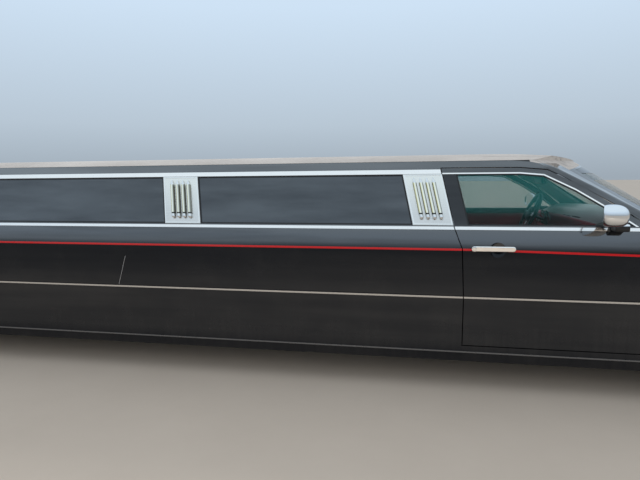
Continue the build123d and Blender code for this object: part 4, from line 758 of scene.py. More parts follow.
def leaning_outline(x0, x1, low, high):
    """The corners of a leaning pane or panel, in side view."""
    return (leant(x0, low), low), (leant(x0, high), high), (leant(x1, high), high), (leant(x1, low), low)


def border(shape, outline, side, out, width, thick):
    """A frame along an outline drawn in side view, on the car's sloping side."""
    rim_strip(shape, [on_side(x, z, out, side) for x, z in outline], width, thick)


seals, borders = bmesh.new(), bmesh.new()
for _, side in BOTH:
    for x0, x1 in FIXED_WINDOWS:
        outline = leaning_outline(x0 + 0.001, x1 - 0.001, GLASS_LOW, GLASS_HIGH)
        border(seals, outline, side, SEAL_OUT, SEAL, SEAL_THICK)
    for x0, x1 in PANELS:
        outline = leaning_outline(x0 + 0.004, x1 - 0.004, PANEL_LOW, PANEL_HIGH)
        border(borders, outline, side, 0.0036, 0.006, 0.0022)
fitted("side_window_seals", seals, rubber)
fitted("opera_panel_borders", borders, chrome, slot="bright_trim")
for end, outline in DOOR_PANES.items():
    for name, side in BOTH:
        shape = bmesh.new()
        border(shape, outline, side, SEAL_OUT, SEAL, SEAL_THICK)
        fitted(f"door_glass_seal_{end}_{name}", shape, rubber, body=f"door_{end}_{name}")
print(len(PANELS), "panels and", len(FIXED_WINDOWS), "fixed windows on each side")

# %% [markdown]
# ## Windshield pillars
# Each front pillar is a rounded black post between the door frame and the windshield. It is a
# row of plan-view outlines, one above another, joined by bridging their edges.

# %% Pillars beside the windshield
PILLAR_ROWS = (
    (1.036, 2.870, 0.915, 2.985, 0.735, 1.0), (1.150, 2.6806, 0.866, 2.8004, 0.7056, 1.0),
    (1.270, 2.4811, 0.8144, 2.6061, 0.6747, 0.95), (1.385, 2.290, 0.765, 2.420, 0.645, 0.75),
    (1.415, 2.248, 0.720, 2.371, 0.618, 0.45),
)
FORWARD = Vector((0.84, 0.54, 0.0))
shape = bmesh.new()
for _, side in BOTH:
    loops = []
    for z, side_x, side_wide, corner_x, corner_wide, size in PILLAR_ROWS:
        edge = Vector((side_x, side_wide, z))
        corner = Vector((corner_x, corner_wide, z))
        row = (
            edge + Vector((-0.004, -0.006, 0.0)), edge + Vector((0.0, 0.0008, 0.0)),
            edge + size * Vector((0.045, -0.001, 0.0)), edge + size * Vector((0.068, -0.010, 0.0)),
            edge + size * Vector((0.080, -0.032, 0.0)), edge.lerp(corner, 0.62) + size * 0.016 * FORWARD,
            corner + 0.004 * FORWARD, corner - 0.006 * FORWARD, edge.lerp(corner, 0.5) - 0.012 * FORWARD,
        )
        loops.append(looped(shape, [(point.x, side * point.y, point.z) for point in row]))
    skinned(shape, loops)
fitted("windshield_pillars", shape, plain_paint, slot="body_paint", soft_angle=50.0)
print("pillars rise to", PILLAR_ROWS[-1][0], "m")

# %% [markdown]
# ## Mirrors and handles
# The mirror's head is a rounded pod of chrome over a black foot. A cube, cut finely and pulled
# towards a sphere, gives the pod; a plane cuts its back open and a lip is extruded inward round
# the glass, which is turned towards the driver. Each door handle ends in a round cap.

# %% Mirror pods and handle caps
POD_AT = (2.5725, 1.0560, 1.1135)
POD_HALF = (0.0745, 0.0930, 0.0630)
POD_ROUND = 2.9
KEY_PLACES = (("front", 1.852), ("rear", -2.815))
KEY_RINGS = (
    (0.0, 0.0165), (0.0045, 0.0165), (0.0045, 0.0172), (0.0135, 0.0172), (0.0158, 0.0165), (0.0165, 0.012),
    (0.0, 0.012),
)


def mirror_shell():
    """Chrome on the mirror's head and black plastic on its foot."""
    finish = Finish("mirror_shell")
    where, _, y, z = finish.place()
    across = y.only("ABSOLUTE")
    head = (across > 0.9635) * (z > 1.0500)
    smear = finish.noise(where, 20.0, 4.0)
    colour = finish.mix(head, (0.008, 0.008, 0.009), (0.84, 0.85, 0.86))
    rough = finish.clamp(smear, 0.3, 0.7, 0.03, 0.08) + (1.0 - head) * 0.35
    return finish.set(Base_Color=colour, Metallic=head, Roughness=rough).material


def mirror_pod(side):
    """The pod with its open back, and the corners of its glass."""
    shape = bmesh.new()
    bmesh.ops.create_cube(shape, size=2.0)
    bmesh.ops.subdivide_edges(shape, edges=shape.edges, cuts=13, use_grid_fill=True)
    for vert in shape.verts:
        reach = sum(abs(part) ** POD_ROUND for part in vert.co) ** (1.0 / POD_ROUND)
        x, y, z = vert.co / reach
        z = z * (1.0 - 0.10 * max(0.0, x) ** 2) - 0.06 * max(0.0, x) ** 2
        x, y, z = (middle + half * part for middle, half, part in zip(POD_AT, POD_HALF, (x, y, z)))
        vert.co = (x, side * y, z)
    back = Vector((-0.955, -side * 0.297, 0.0))
    cut_at = Vector((2.5290, side * POD_AT[1], POD_AT[2]))
    everything = shape.verts[:] + shape.edges[:] + shape.faces[:]
    bmesh.ops.bisect_plane(shape, geom=everything, plane_co=cut_at, plane_no=back, clear_outer=True)
    open_edges = [edge for edge in shape.edges if edge.is_boundary]
    cap = bmesh.ops.contextual_create(shape, geom=open_edges)["faces"]
    bmesh.ops.inset_region(shape, faces=cap, thickness=0.007, use_even_offset=True)
    glass = [vert.co.copy() for vert in cap[0].verts]
    grown = bmesh.ops.extrude_face_region(shape, geom=cap)
    bmesh.ops.translate(shape, vec=-0.009 * back, verts=verts_of(grown))
    bmesh.ops.delete(shape, geom=[face for face in cap if face.is_valid], context="FACES_ONLY")
    foot = brick(shape, (2.612, 0.0, 1.017), (2.690, 0.085, 1.061), bevel=0.010, steps=3)
    for vert in foot:
        vert.co.y = side * (0.917 + vert.co.y)
    return shape, [corner - 0.006 * back for corner in glass]


silver_glass = polished("mirror_silver", (0.90, 0.92, 0.93), 0.0, 0.02)
mirror_finish = mirror_shell()
for name, side in BOTH:
    shape, corners = mirror_pod(side)
    made = fitted(f"mirror_pod_{name}", shape, mirror_finish, body=f"door_front_{name}", slot="bright_trim")
    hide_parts(f"mirror_{name}")
    shape = bmesh.new()
    bmesh.ops.solidify(shape, geom=[outline_face(shape, corners)], thickness=0.0015)
    fitted(f"mirror_glass_{name}", shape, silver_glass, body=f"door_front_{name}", slot="bright_trim")
    for end, key_x in KEY_PLACES:
        shape = bmesh.new()
        turned(shape, KEY_RINGS, (key_x, side * 0.9715, 0.906), (0.0, side, 0.0), 32)
        fitted(f"handle_key_cap_{end}_{name}", shape, chrome, body=f"door_{end}_{name}", slot="bright_trim")
print("mirror glass has", len(corners), "corners")

# %% [markdown]
# ## Tyres with tread
# The CAD tyre gives the size. The tyre that shows has a moulded sidewall, with two rings and a
# bead, from one spun profile. Its tread has five rows; each starts as one beveled block that is
# turned round the wheel as copies, so hundreds of blocks cost few faces each.

# %% Tyres
AXLES = (("front", 3.422), ("rear", -3.186))
WHEEL_Z, TRACK = 0.358, 0.806
TYRE_SECTION = (
    (0.229, -0.104), (0.234, -0.108), (0.246, -0.110), (0.249, -0.1128), (0.268, -0.1155),
    (0.292, -0.1165), (0.294, -0.1175), (0.299, -0.1175), (0.301, -0.1160), (0.318, -0.1120),
    (0.320, -0.1125), (0.326, -0.1105), (0.336, -0.1020), (0.346, -0.0900), (0.3495, -0.0800), (0.3515, 0.0),
)
TREAD_ROWS = (
    (-0.098, -0.066, 0.3530), (-0.058, -0.026, 0.3570), (-0.019, 0.019, 0.3579), (0.026, 0.058, 0.3570),
    (0.066, 0.098, 0.3530),
)
TREAD_FOOT = 0.340
TREAD_PITCHES = 56


def tyre(x, side):
    """A tyre with its tread, round one wheel's axle."""
    shape = bmesh.new()
    centre = Vector((x, side * TRACK, WHEEL_Z))
    profile = [*TYRE_SECTION, *((radius, -across) for radius, across in reversed(TYRE_SECTION[:-1]))]
    turned(shape, [*profile, profile[0]], centre, (0.0, 1.0, 0.0), 96)
    pitch = 2 * pi / TREAD_PITCHES
    for index, (near, far, top) in enumerate(TREAD_ROWS):
        half_long = 0.5 * pitch * 0.78 * top
        turn = Matrix.Rotation(radians(10.0 if index % 2 else -10.0), 3, "Z")
        low = (-half_long, near, TREAD_FOOT)
        block_verts = brick(shape, low, (half_long, far, top), bevel=0.0012, steps=1, turn=turn)
        shift = Matrix.Rotation((index % 2) * pitch / 2, 4, "Y")
        bmesh.ops.transform(shape, matrix=Matrix.Translation(centre) @ shift, verts=block_verts)
        geom = block_verts + list({edge for vert in block_verts for edge in vert.link_edges})
        geom = geom + list({face for vert in block_verts for face in vert.link_faces})
        for step in range(1, TREAD_PITCHES):
            verts = verts_of(bmesh.ops.duplicate(shape, geom=geom))
            bmesh.ops.rotate(shape, cent=centre, matrix=Matrix.Rotation(step * pitch, 3, "Y"), verts=verts)
    return shape


for end, axle_x in AXLES:
    for name, side in BOTH:
        shape = tyre(axle_x, side)
        made = fitted(f"road_tyre_{end}_{name}", shape, tyre_rubber, body=f"wheel_{end}_{name}", slot="tyre")
        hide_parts(f"tyre_{end}_{name}")
print(TREAD_PITCHES, "rows of", len(TREAD_ROWS), "tread blocks on each tyre")

# %% [markdown]
# ## Wheel fittings
# Five nuts sit in the rim's holes round a domed centre cap, and a valve stands near the edge.
# The nuts are six-sided with a rounded end, and chrome like the cap.

# %% Nuts, caps and valves
BOLT_CIRCLE = 0.05715
HUB_OUT = 0.076
NUT = ((0.0, -0.006), (0.0066, -0.006), (0.0066, 0.010), (0.0055, 0.0135), (0.0, 0.0145))
CAP = (
    (0.0, 0.0), (0.029, 0.0), (0.029, 0.006), (0.0265, 0.0095), (0.021, 0.0105), (0.019, 0.009),
    (0.010, 0.0105), (0.0, 0.011),
)
VALVE = ((0.0, -0.002), (0.0042, -0.002), (0.0042, 0.012), (0.0030, 0.013), (0.0030, 0.022), (0.0, 0.023))
for end, axle_x in AXLES:
    for name, side in BOTH:
        shape = bmesh.new()
        hub = Vector((axle_x, side * (TRACK + HUB_OUT), WHEEL_Z))
        out = Vector((0.0, side, 0.0))
        for index in range(5):
            angle = index * 2 * pi / 5
            spoke = BOLT_CIRCLE * Vector((cos(angle), 0.0, sin(angle)))
            turned(shape, NUT, hub - 0.012 * out + spoke, out, 6)
        turned(shape, CAP, hub - 0.001 * out, out, 40)
        turned(shape, VALVE, hub + 0.006 * out + Vector((-0.12, 0.0, 0.172)), out, 16)
        fitted(f"wheel_fittings_{end}_{name}", shape, chrome, body=f"wheel_{end}_{name}", slot="rim_metal")
print("five nuts on a circle of", round(2000 * BOLT_CIRCLE, 1), "mm")

# %% [markdown]
# ## Behind the glass
# The front doors' glass is clear, so the photograph shows the far door's wine-red trim, the
# dashboard and the steering wheel. The door trims are padded panels with an armrest, a pull and
# a pocket. The dashboard gets a soft top, a hood over the dials, and air vents with silver
# frames, and the steering wheel gets satin inserts on its spokes.

# %% Door trims
TRIM_FACE_Y = 0.848
DOOR_TRIMS = (("front", 1.885, 2.775, -0.020, 0.60), ("rear", -2.640, -1.905, 0.020, 0.52))
wine = grained("wine_leather", (0.34, 0.027, 0.046), (0.44, 0.038, 0.062), 260.0, 0.42, 0.0006)
satin = polished("satin_silver", (0.62, 0.62, 0.61), 0.22, 0.34)


def door_trim_panel(x0, x1, side, post):
    """The padded inner panel of a door, from its sill to just under the glass."""
    shape = bmesh.new()
    outline = (
        (x0 + 0.050, 0.335), (x0, 0.44), (x0 + post, 1.000), (x1 - 0.02, 1.000), (x1, 0.97), (x1, 0.40),
        (x1 - 0.06, 0.335),
    )
    plate(shape, [Vector((x, side * TRIM_FACE_Y, z)) for x, z in outline], 0.026, 0.007)
    for vert in shape.verts:
        if abs(vert.co.y) > TRIM_FACE_Y + 0.001:
            vert.co.y = side * (2 * TRIM_FACE_Y - abs(vert.co.y))
    middle = (x0 + x1) / 2
    inner = side * (TRIM_FACE_Y - 0.022)

    def raised(a, b, low, high, deep, bevel):
        near, far = sorted((inner, inner - side * deep))
        brick(shape, (a, near, low), (b, far, high), bevel=bevel, steps=3)

    raised(middle - 0.25, middle + 0.22, 0.635, 0.690, 0.055, 0.016)
    raised(x0 + 0.12, x1 - 0.10, 0.705, 0.905, 0.012, 0.010)
    raised(x0 + 0.16, x1 - 0.12, 0.375, 0.475, 0.020, 0.010)
    return shape


for end, x0, x1, post, handle in DOOR_TRIMS:
    for name, side in BOTH:
        body = f"door_{end}_{name}"
        shape = door_trim_panel(x0, x1, side, post)
        fitted(f"door_trim_panel_{end}_{name}", shape, wine, body=body, slot="seat_leather")
        at = x0 + handle
        low, high = sorted((side * (TRIM_FACE_Y - 0.034), side * (TRIM_FACE_Y - 0.046)))
        rows = (
            ((at - 0.045, low, 0.845), (at + 0.045, high, 0.872), 0.005, 3),
            ((at - 0.060, low + 0.004, 0.835), (at + 0.060, high - 0.004, 0.882), 0.003),
        )
        bricks(f"inner_handle_{end}_{name}", satin, rows, body=body, slot="bright_trim")
print("door trims stand", TRIM_FACE_Y, "m from the middle of the car")

# %% [markdown]
# ## Dashboard
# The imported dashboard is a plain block. A soft pad, a grid of points raised by a few sums, covers
# it up to the windshield; a sum is easier to change than pushed points. Vents and dials are thin
# frames and spun rings on its face.

# %% Dashboard top, dials and vents
DASH_HALF = 0.742
DASH_REAR = 2.575
DIAL_RING = ((0.058, 0.0), (0.058, -0.010), (0.052, -0.012), (0.049, -0.004), (0.058, 0.0))
KNOB = ((0.0, -0.010), (0.014, -0.010), (0.0155, -0.007), (0.0165, 0.0), (0.0, 0.0))


def dash_top():
    """A soft pad over the dashboard, higher towards the windshield, with a hood over the dials."""
    shape = bmesh.new()
    bmesh.ops.create_grid(shape, x_segments=24, y_segments=36, size=0.5)
    for vert in shape.verts:
        u, v = vert.co.x + 0.5, vert.co.y * 2.0
        y = DASH_HALF * v
        front = 2.985 - 0.055 * abs(v) - 0.16 * v ** 4
        x = DASH_REAR + u * (front - DASH_REAR)
        crown = 0.072 * u + 0.012 * (1.0 - (2 * u - 1.0) ** 2)
        dial = 0.042 * max(0.0, 1.0 - ((y - 0.37) / 0.19) ** 4) * max(0.0, 1.0 - abs(u - 0.18) / 0.30)
        vert.co = (x, y, 1.028 + crown + dial)
    rim = [edge for edge in shape.edges if edge.is_boundary]
    for vert in verts_of(bmesh.ops.extrude_edge_only(shape, edges=rim)):
        vert.co.z = 1.004 if vert.co.x < 2.70 else 1.018
    bmesh.ops.holes_fill(shape, edges=[edge for edge in shape.edges if edge.is_boundary], sides=0)
    return shape


dash_soft = grained("dash_top_vinyl", (0.38, 0.42, 0.41), (0.48, 0.53, 0.51), 420.0, 0.42, 0.0006)
fitted("dash_top_pad", dash_top(), dash_soft)
roll = ((2.552, -DASH_HALF, 0.885), (2.610, DASH_HALF, 1.040), 0.018, 4)
bricks("dash_face_roll", wine, (roll,), slot="seat_leather")


def vent(shape, slats, y, low, high, wide, x_low, x_high, bars):
    """A silver frame with dark slats across it, on a face that leans."""

    def upright(middle, half):
        ends = ((x_low, -half, low), (x_low, half, low), (x_high, half, high), (x_high, -half, high))
        return [Vector((x, middle + across, z)) for x, across, z in ends]

    corners = upright(y, wide)
    rim_strip(shape, corners, 0.0075, 0.008)
    plate(slats, [corner + Vector((0.004, 0.0, -0.002)) for corner in corners], 0.003)
    for step in range(bars):
        plate(shape, upright(y - wide + 2 * wide * (step + 1) / (bars + 1), 0.0022), 0.004)


frames, slats = bmesh.new(), bmesh.new()
for y in (-0.66, 0.66):
    vent(frames, slats, y, 0.945, 1.015, 0.050, 2.546, 2.549, 3)
vent(frames, slats, 0.0, 0.938, 1.042, 0.082, 2.5455, 2.6155, 2)
box = ((2.549, 0.93), (2.622, 1.046), (2.70, 1.046), (2.70, 0.93))
plate(slats, [Vector((x, -0.088, z)) for x, z in box], -0.176, 0.004)
brick(slats, (2.530, -0.098, 0.80), (2.560, 0.098, 0.925), bevel=0.006)
fitted("vent_frames", frames, satin, slot="bright_trim")
fitted("vent_slats", slats, trim_plastic)
shape = bmesh.new()
for y in (0.30, 0.44):
    turned(shape, DIAL_RING, (2.552, y, 1.005), (1.0, 0.0, 0.35), 40, ACROSS)
for index in range(4):
    turned(shape, KNOB, (2.530, -0.066 + index * 0.044, 0.775), (1.0, 0.0, 0.0), 24, ACROSS)
fitted("dial_rings", shape, satin, slot="bright_trim")
print("the dashboard is", 2 * DASH_HALF, "m wide")

# %% [markdown]
# ## Steering wheel
# The wheel leans, so its trim is placed in its own plane: across, up and out along the column.
# Drawing it flat and turning it afterwards would do as well, but then the numbers would no longer
# be places in the car.

# %% Steering wheel inserts and boss
HUB = Vector((2.42, 0.37, 1.03))
COLUMN_TILT = radians(25.0)
COLUMN = Vector((-cos(COLUMN_TILT), 0.0, sin(COLUMN_TILT)))
WHEEL_UP = Vector((sin(COLUMN_TILT), 0.0, cos(COLUMN_TILT)))


def on_wheel(across, up, out):
    """A point on the steering wheel's own plane."""
    return HUB + ACROSS * across + WHEEL_UP * up + COLUMN * out


shape = bmesh.new()
for way in (1.0, -1.0):
    corners = ((0.060, 0.012), (0.150, 0.020), (0.155, -0.014), (0.062, -0.020))
    plate(shape, [on_wheel(way * across, up, 0.001) for across, up in corners], 0.006 * way, 0.0015)
corners = ((-0.013, -0.060), (0.013, -0.060), (0.011, -0.150), (-0.011, -0.150))
plate(shape, [on_wheel(across, up, 0.001) for across, up in corners], -0.006, 0.0015)
fitted("steering_wheel_inserts", shape, satin, body="steering_wheel", slot="bright_trim")
shape = bmesh.new()
dome = ((0.0, 0.004), (0.061, 0.004), (0.060, 0.012), (0.052, 0.019), (0.030, 0.024), (0.0, 0.026))
turned(shape, dome, HUB, COLUMN, 40, start=WHEEL_UP)
fitted("steering_wheel_boss", shape, trim_plastic, body="steering_wheel")
print("steering wheel at", tuple(round(part, 2) for part in HUB))

# %% [markdown]
# ## Inner mirror and sun visors
# Both show through the clear windshield. They are softened boxes, tipped a little, because at
# that distance their outline is all that the eye gets.

# %% Inner mirror and sun visors
visor_cloth = grained("visor_cloth", (0.22, 0.21, 0.20), (0.28, 0.27, 0.26), 500.0, 0.8, 0.0006)
back_tip, roof_tip = (Matrix.Rotation(radians(angle), 3, "Y") for angle in (-12, 10))
rows = (
    ((2.395, -0.125, 1.275), (2.425, 0.125, 1.335), 0.012, 3, back_tip),
    ((2.42, -0.012, 1.315), (2.47, 0.012, 1.372), 0.005),
)
bricks("inner_mirror", trim_plastic, rows)
rows = [((2.27, y - 0.20, 1.386), (2.44, y + 0.20, 1.398), 0.005, 2, roof_tip) for y in (-0.36, 0.36)]
bricks("sun_visors", visor_cloth, rows, slot="seat_leather")
print("inner mirror and", len(rows), "visors")

# %% [markdown]
# ## Padded seats
# A leather cushion is foam that pushes its cover outward between the seams. Each pad starts as a
# rounded block a little smaller than the finished cushion. Blender's cloth, with pressure and no
# gravity, puffs it for twenty frames; the move is capped, and the seams are pressed in after it.
# One pad of each kind is simulated and then placed as often as the car needs it.

# %% Puffing a pad
seat_hide = grained("seat_hide", (0.13, 0.012, 0.018), (0.20, 0.022, 0.03), 240.0, 0.40, 0.0008)
PUFF_CAP = 0.022
PUFF_ROOM = 0.034
PUFF_FRAMES = 20
SEAM_WIDTH, SEAM_DEPTH = 0.009, 0.011


def pad_block(size, voxel):
    """A rounded block of even small faces, centred at the origin."""
    shape = bmesh.new()
    half = Vector(size) / 2
    brick(shape, -half, half, bevel=0.022, steps=4)
    mesh = bpy.data.meshes.new("pad_block")
    shape.to_mesh(mesh)
    shape.free()
    block = bpy.data.objects.new("pad_block", mesh)
    scene.collection.objects.link(block)
    remesh = block.modifiers.new("Remesh", "REMESH")
    remesh.mode = "VOXEL"
    remesh.voxel_size = voxel
    graph = bpy.context.evaluated_depsgraph_get()
    block.data = bpy.data.meshes.new_from_object(block.evaluated_get(graph))
    block.modifiers.clear()
    return block


def puff(block):
    """Let cloth pressure swell the block, with every point's move capped."""
    before = [vert.co.copy() for vert in block.data.vertices]
    cloth = block.modifiers.new("Cloth", "CLOTH")
    cloth.settings.quality = 5
    cloth.settings.use_pressure = True
    cloth.settings.uniform_pressure_force = 4.0
    cloth.settings.effector_weights.gravity = 0.0
    cloth.point_cache.frame_start = 1
    cloth.point_cache.frame_end = PUFF_FRAMES
    for step in range(1, PUFF_FRAMES + 1):
        scene.frame_set(step)
    graph = bpy.context.evaluated_depsgraph_get()
    after = [vert.co.copy() for vert in block.evaluated_get(graph).data.vertices]
    block.modifiers.clear()
    scene.frame_set(1)
    for vert, start, end in zip(block.data.vertices, before, after):
        move = end - start
        if move.length > PUFF_CAP:
            move = move * (PUFF_CAP / move.length)
        vert.co = start + move


def pad(size, seams_x, seams_y, voxel=0.012):
    """One pad as a mesh: a puffed block with seams pressed in along and across its top."""
    block = pad_block([part - PUFF_ROOM for part in size], voxel)
    puff(block)
    shape = bmesh.new()
    shape.from_mesh(block.data)
    bpy.data.objects.remove(block)
    for _ in range(2):
        bmesh.ops.smooth_vert(
            shape, verts=shape.verts, factor=0.5, use_axis_x=True, use_axis_y=True, use_axis_z=True,
        )
    half = Vector(size) / 2
    for vert in shape.verts:
        x, y, z = vert.co
        u, v = x / half.x, y / half.y
        crown = 0.010 * max(0.0, 1.0 - u * u) * max(0.0, 1.0 - v * v)
        top = max(0.0, min(1.0, z / (0.3 * half.z)))
        dip = 0.0
        for seams, across, along, reach in ((seams_x, u, v, half.x), (seams_y, v, u, half.y)):
            for seam, near, far in seams:
                if near - 0.01 <= along <= far + 0.01:
                    dip = max(dip, exp(-((across - seam) * reach / SEAM_WIDTH) ** 2))
        vert.co.z = z + top * (crown - SEAM_DEPTH * dip)
    return shape


def place_pads(name, shape, places):
    """Copies of a pad, each its own piece, at the given transforms."""
    flat = bpy.data.meshes.new(name)
    shape.to_mesh(flat)
    shape.free()
    pieces = []
    for label, place in places:
        copy = bmesh.new()
        copy.from_mesh(flat)
        bmesh.ops.transform(copy, matrix=place, verts=copy.verts)
        made = fitted(f"{name}_{label}", copy, seat_hide, slot="seat_leather", soft_angle=80.0)
        pieces.append(made)
    bpy.data.meshes.remove(flat)
    return pieces


def seated(x, y, z, tip, facing=0.0):
    """A transform: tip a pad about its width, turn it to face a way, and carry it to its place."""
    turn = Matrix.Rotation(radians(facing), 4, "Z") @ Matrix.Rotation(radians(tip), 4, "Y")
    return Matrix.Translation((x, y, z)) @ turn


print("a pad's point moves at most", round(1000 * PUFF_CAP), "mm when it is puffed")

# %% [markdown]
# ## Front seats
# A front seat is a cushion with flutes between two bolsters, a backrest of the same kind and a
# headrest on two stems. A plastic base and a hard shell behind the back carry them, so that no
# pad floats.

# %% Front seats
SEAT_Y = 0.396
bolsters = ((-0.56, -0.86, 0.86), (0.56, -0.86, 0.86))
flutes = ((-0.50, -0.56, 0.56), (-0.12, -0.56, 0.56), (0.26, -0.56, 0.56), (0.62, -0.56, 0.56))
FRONT_PADS = (
    ("front_cushion", (0.50, 0.47, 0.135), flutes, bolsters, 0.010, (1.985, 0.452, -5.4)),
    ("front_backrest", (0.60, 0.47, 0.125), flutes, bolsters, 0.010, (1.722, 0.790, 74.3)),
    ("front_headrest", (0.145, 0.19, 0.09), (), ((0.0, -0.8, 0.8),), 0.006, (1.634, 1.180, 80.0)),
)
STEM = ((0.0, 0.0), (0.0065, 0.0), (0.0065, 0.13), (0.0, 0.13))
front = []
for label, size, seams_x, seams_y, voxel, (x, z, tip) in FRONT_PADS:
    places = [(name, seated(x, side * SEAT_Y, z, tip)) for name, side in BOTH]
    front += place_pads(label, pad(size, seams_x, seams_y, voxel), places)
shape = bmesh.new()
for _, side in BOTH:
    near, far = sorted((side * 0.185, side * 0.607))
    brick(shape, (1.815, near, 0.262), (2.185, far, 0.395), bevel=0.012)
    shell = brick(shape, (-0.29, near, -0.016), (0.25, far, 0.016), bevel=0.012)
    bmesh.ops.transform(shape, matrix=seated(1.652, 0.0, 0.765, 74.3), verts=shell)
    for post in (-0.055, 0.055):
        turned(shape, STEM, (1.648, side * SEAT_Y + post, 1.035), (-0.1, 0.0, 1.0), 12, ACROSS)
frames_made = fitted("front_seat_frames", shape, trim_plastic)
for piece in (frames_made, *front):
    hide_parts("front_seats")
print("front seats:", len(front), "pads")

# %% [markdown]
# ## Rear bench and side couch
# A car like this seats its guests on a bench across the back and on a couch along one side. The
# couch is the same pad five times, because a single long pad would show no joints.

# %% Rear bench and side couch
BENCH_PLACES = (("right", -0.436), ("middle", 0.0), ("left", 0.436))
COUCH_PLACES = [(f"seat{index + 1}", 1.005 - 0.590 * index) for index in range(5)]
pleats = ((-0.34, -0.8, 0.8), (0.34, -0.8, 0.8))
rear = []
for label, size, seams_x, seams_y, (x, z, tip) in (
    ("bench_cushion", (0.475, 0.432, 0.165), pleats, (), (-2.668, 0.520, -3.9)),
    ("bench_backrest", (0.58, 0.432, 0.16), (), pleats, (-3.075, 0.838, 70.2)),
):
    places = [(name, seated(x, y, z, tip)) for name, y in BENCH_PLACES]
    rear += place_pads(label, pad(size, seams_x, seams_y), places)
for label, size, (y, z, tip) in (
    ("couch_cushion", (0.335, 0.586, 0.13), (0.486, 0.428, 0.0)),
    ("couch_backrest", (0.42, 0.586, 0.115), (0.733, 0.700, 81.5)),
):
    places = [(name, seated(x, y, z, tip, -90.0)) for name, x in COUCH_PLACES]
    rear += place_pads(label, pad(size, (), pleats), places)
shape = bmesh.new()
brick(shape, (-2.955, -0.640, 0.430), (-2.470, 0.640, 0.452), bevel=0.006)
board = brick(shape, (-0.30, -0.645, -0.012), (0.27, 0.645, 0.012), bevel=0.006)
bmesh.ops.transform(shape, matrix=seated(-3.165, 0.0, 0.80, 74.0), verts=board)
brick(shape, (-1.645, 0.345, 0.262), (1.295, 0.765, 0.372), bevel=0.010)
brick(shape, (-1.645, 0.772, 0.262), (1.295, 0.796, 0.880), bevel=0.006)
bases = fitted("rear_seat_bases", shape, wine, slot="seat_leather")
for piece in (bases, *rear):
    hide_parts("rear_seats")
print("rear seats:", len(rear), "pads")

# %% [markdown]
# ## Lamps, grille and plates
# The headlamp's clear block needs something to see inside: spun reflector bowls with a bulb dome
# in a dark tray. Fine mesh closes the grille and the intake behind their bars, and fog lamps fill
# the round holes. A blank plate with its frame sits in front; screws fill all four plate holes.

# %% Lamp insides, meshes and plates
bowl_silver = polished("bowl_silver", (0.88, 0.88, 0.88), 0.03, 0.10)
tray_black = grained("tray_black", (0.008, 0.008, 0.009), (0.016, 0.016, 0.017), 300.0, 0.35, 0.0003)
amber = pane("amber_lens", (0.55, 0.17, 0.01), 0.9, 0.12)
LAMP_Z = 0.777
NET_PITCH = 0.022
BOWLS = ((4.135, 0.545, 0.052), (4.098, 0.668, 0.052), (4.050, 0.780, 0.045))
BULB = ((0.0, -0.012), (0.010, -0.014), (0.018, -0.022), (0.022, -0.034), (0.022, -0.052), (0.0, -0.052))
FOG_LENS = (
    (0.0, 0.014), (0.020, 0.012), (0.036, 0.006), (0.043, -0.004), (0.049, -0.004), (0.0505, 0.004),
    (0.0505, -0.05), (0.0, -0.05),
)
AHEAD = Vector((1.0, 0.0, 0.0))
SCREW = (
    (0.0, 0.0004), (0.004, 0.0), (0.0055, -0.0015), (0.0055, -0.004), (0.0028, -0.0045), (0.0028, -0.02),
    (0.0, -0.02),
)
for name, side in BOTH:
    shape = bmesh.new()
    tray = []
    for x, y, radius in BOWLS:
        bowl = [(radius * step / 8, 0.055 * (step / 8) ** 2 - 0.055) for step in range(9)]
        bowl += [(radius + 0.004, 0.002), (radius + 0.004, -0.060), (0.0, -0.060)]
        turned(shape, bowl, (x, side * y, LAMP_Z), AHEAD, 40)
        turned(shape, BULB, (x, side * y, LAMP_Z), AHEAD, 24)
        near, far = sorted((side * (y - radius - 0.008), side * (y + radius + 0.008)))
        tray.append(((x - 0.085, near, 0.714), (x - 0.0605, far, 0.840), 0.004))
    fitted(f"headlamp_bowls_{name}", shape, bowl_silver, slot="lamp_clear")
    bricks(f"headlamp_tray_{name}", tray_black, tray)
    near, far = sorted((side * 0.835, side * 0.862))
    signal = ((3.975, near, 0.725), (4.040, far, 0.830), 0.006)
    bricks(f"headlamp_signal_{name}", amber, (signal,), slot="lamp_clear")
    shape = bmesh.new()
    turned(shape, FOG_LENS, (4.165, side * 0.64, 0.395), AHEAD, 40)
    fitted(f"fog_lamp_{name}", shape, bowl_silver, slot="lamp_clear")


def net(name, x, wide, low, high, thick, back=0.0):
    """A net of upright and level bars across an opening, with a dark sheet behind it."""
    columns = int(2 * wide / NET_PITCH)
    lines = int((high - low) / NET_PITCH)
    across = [-wide + index * 2 * wide / columns for index in range(columns + 1)]
    levels = [low + index * (high - low) / lines for index in range(lines + 1)]
    bars = [((x, y - thick / 2, low), (x + 0.006, y + thick / 2, high)) for y in across]
    bars += [((x, -wide, z - thick / 2), (x + 0.006, wide, z + thick / 2)) for z in levels]
    sheet = ((x - 0.012, -wide - back, low - back / 3), (x - 0.008, wide + back, high + back / 3))
    bricks(name, tray_black, (*bars, sheet))


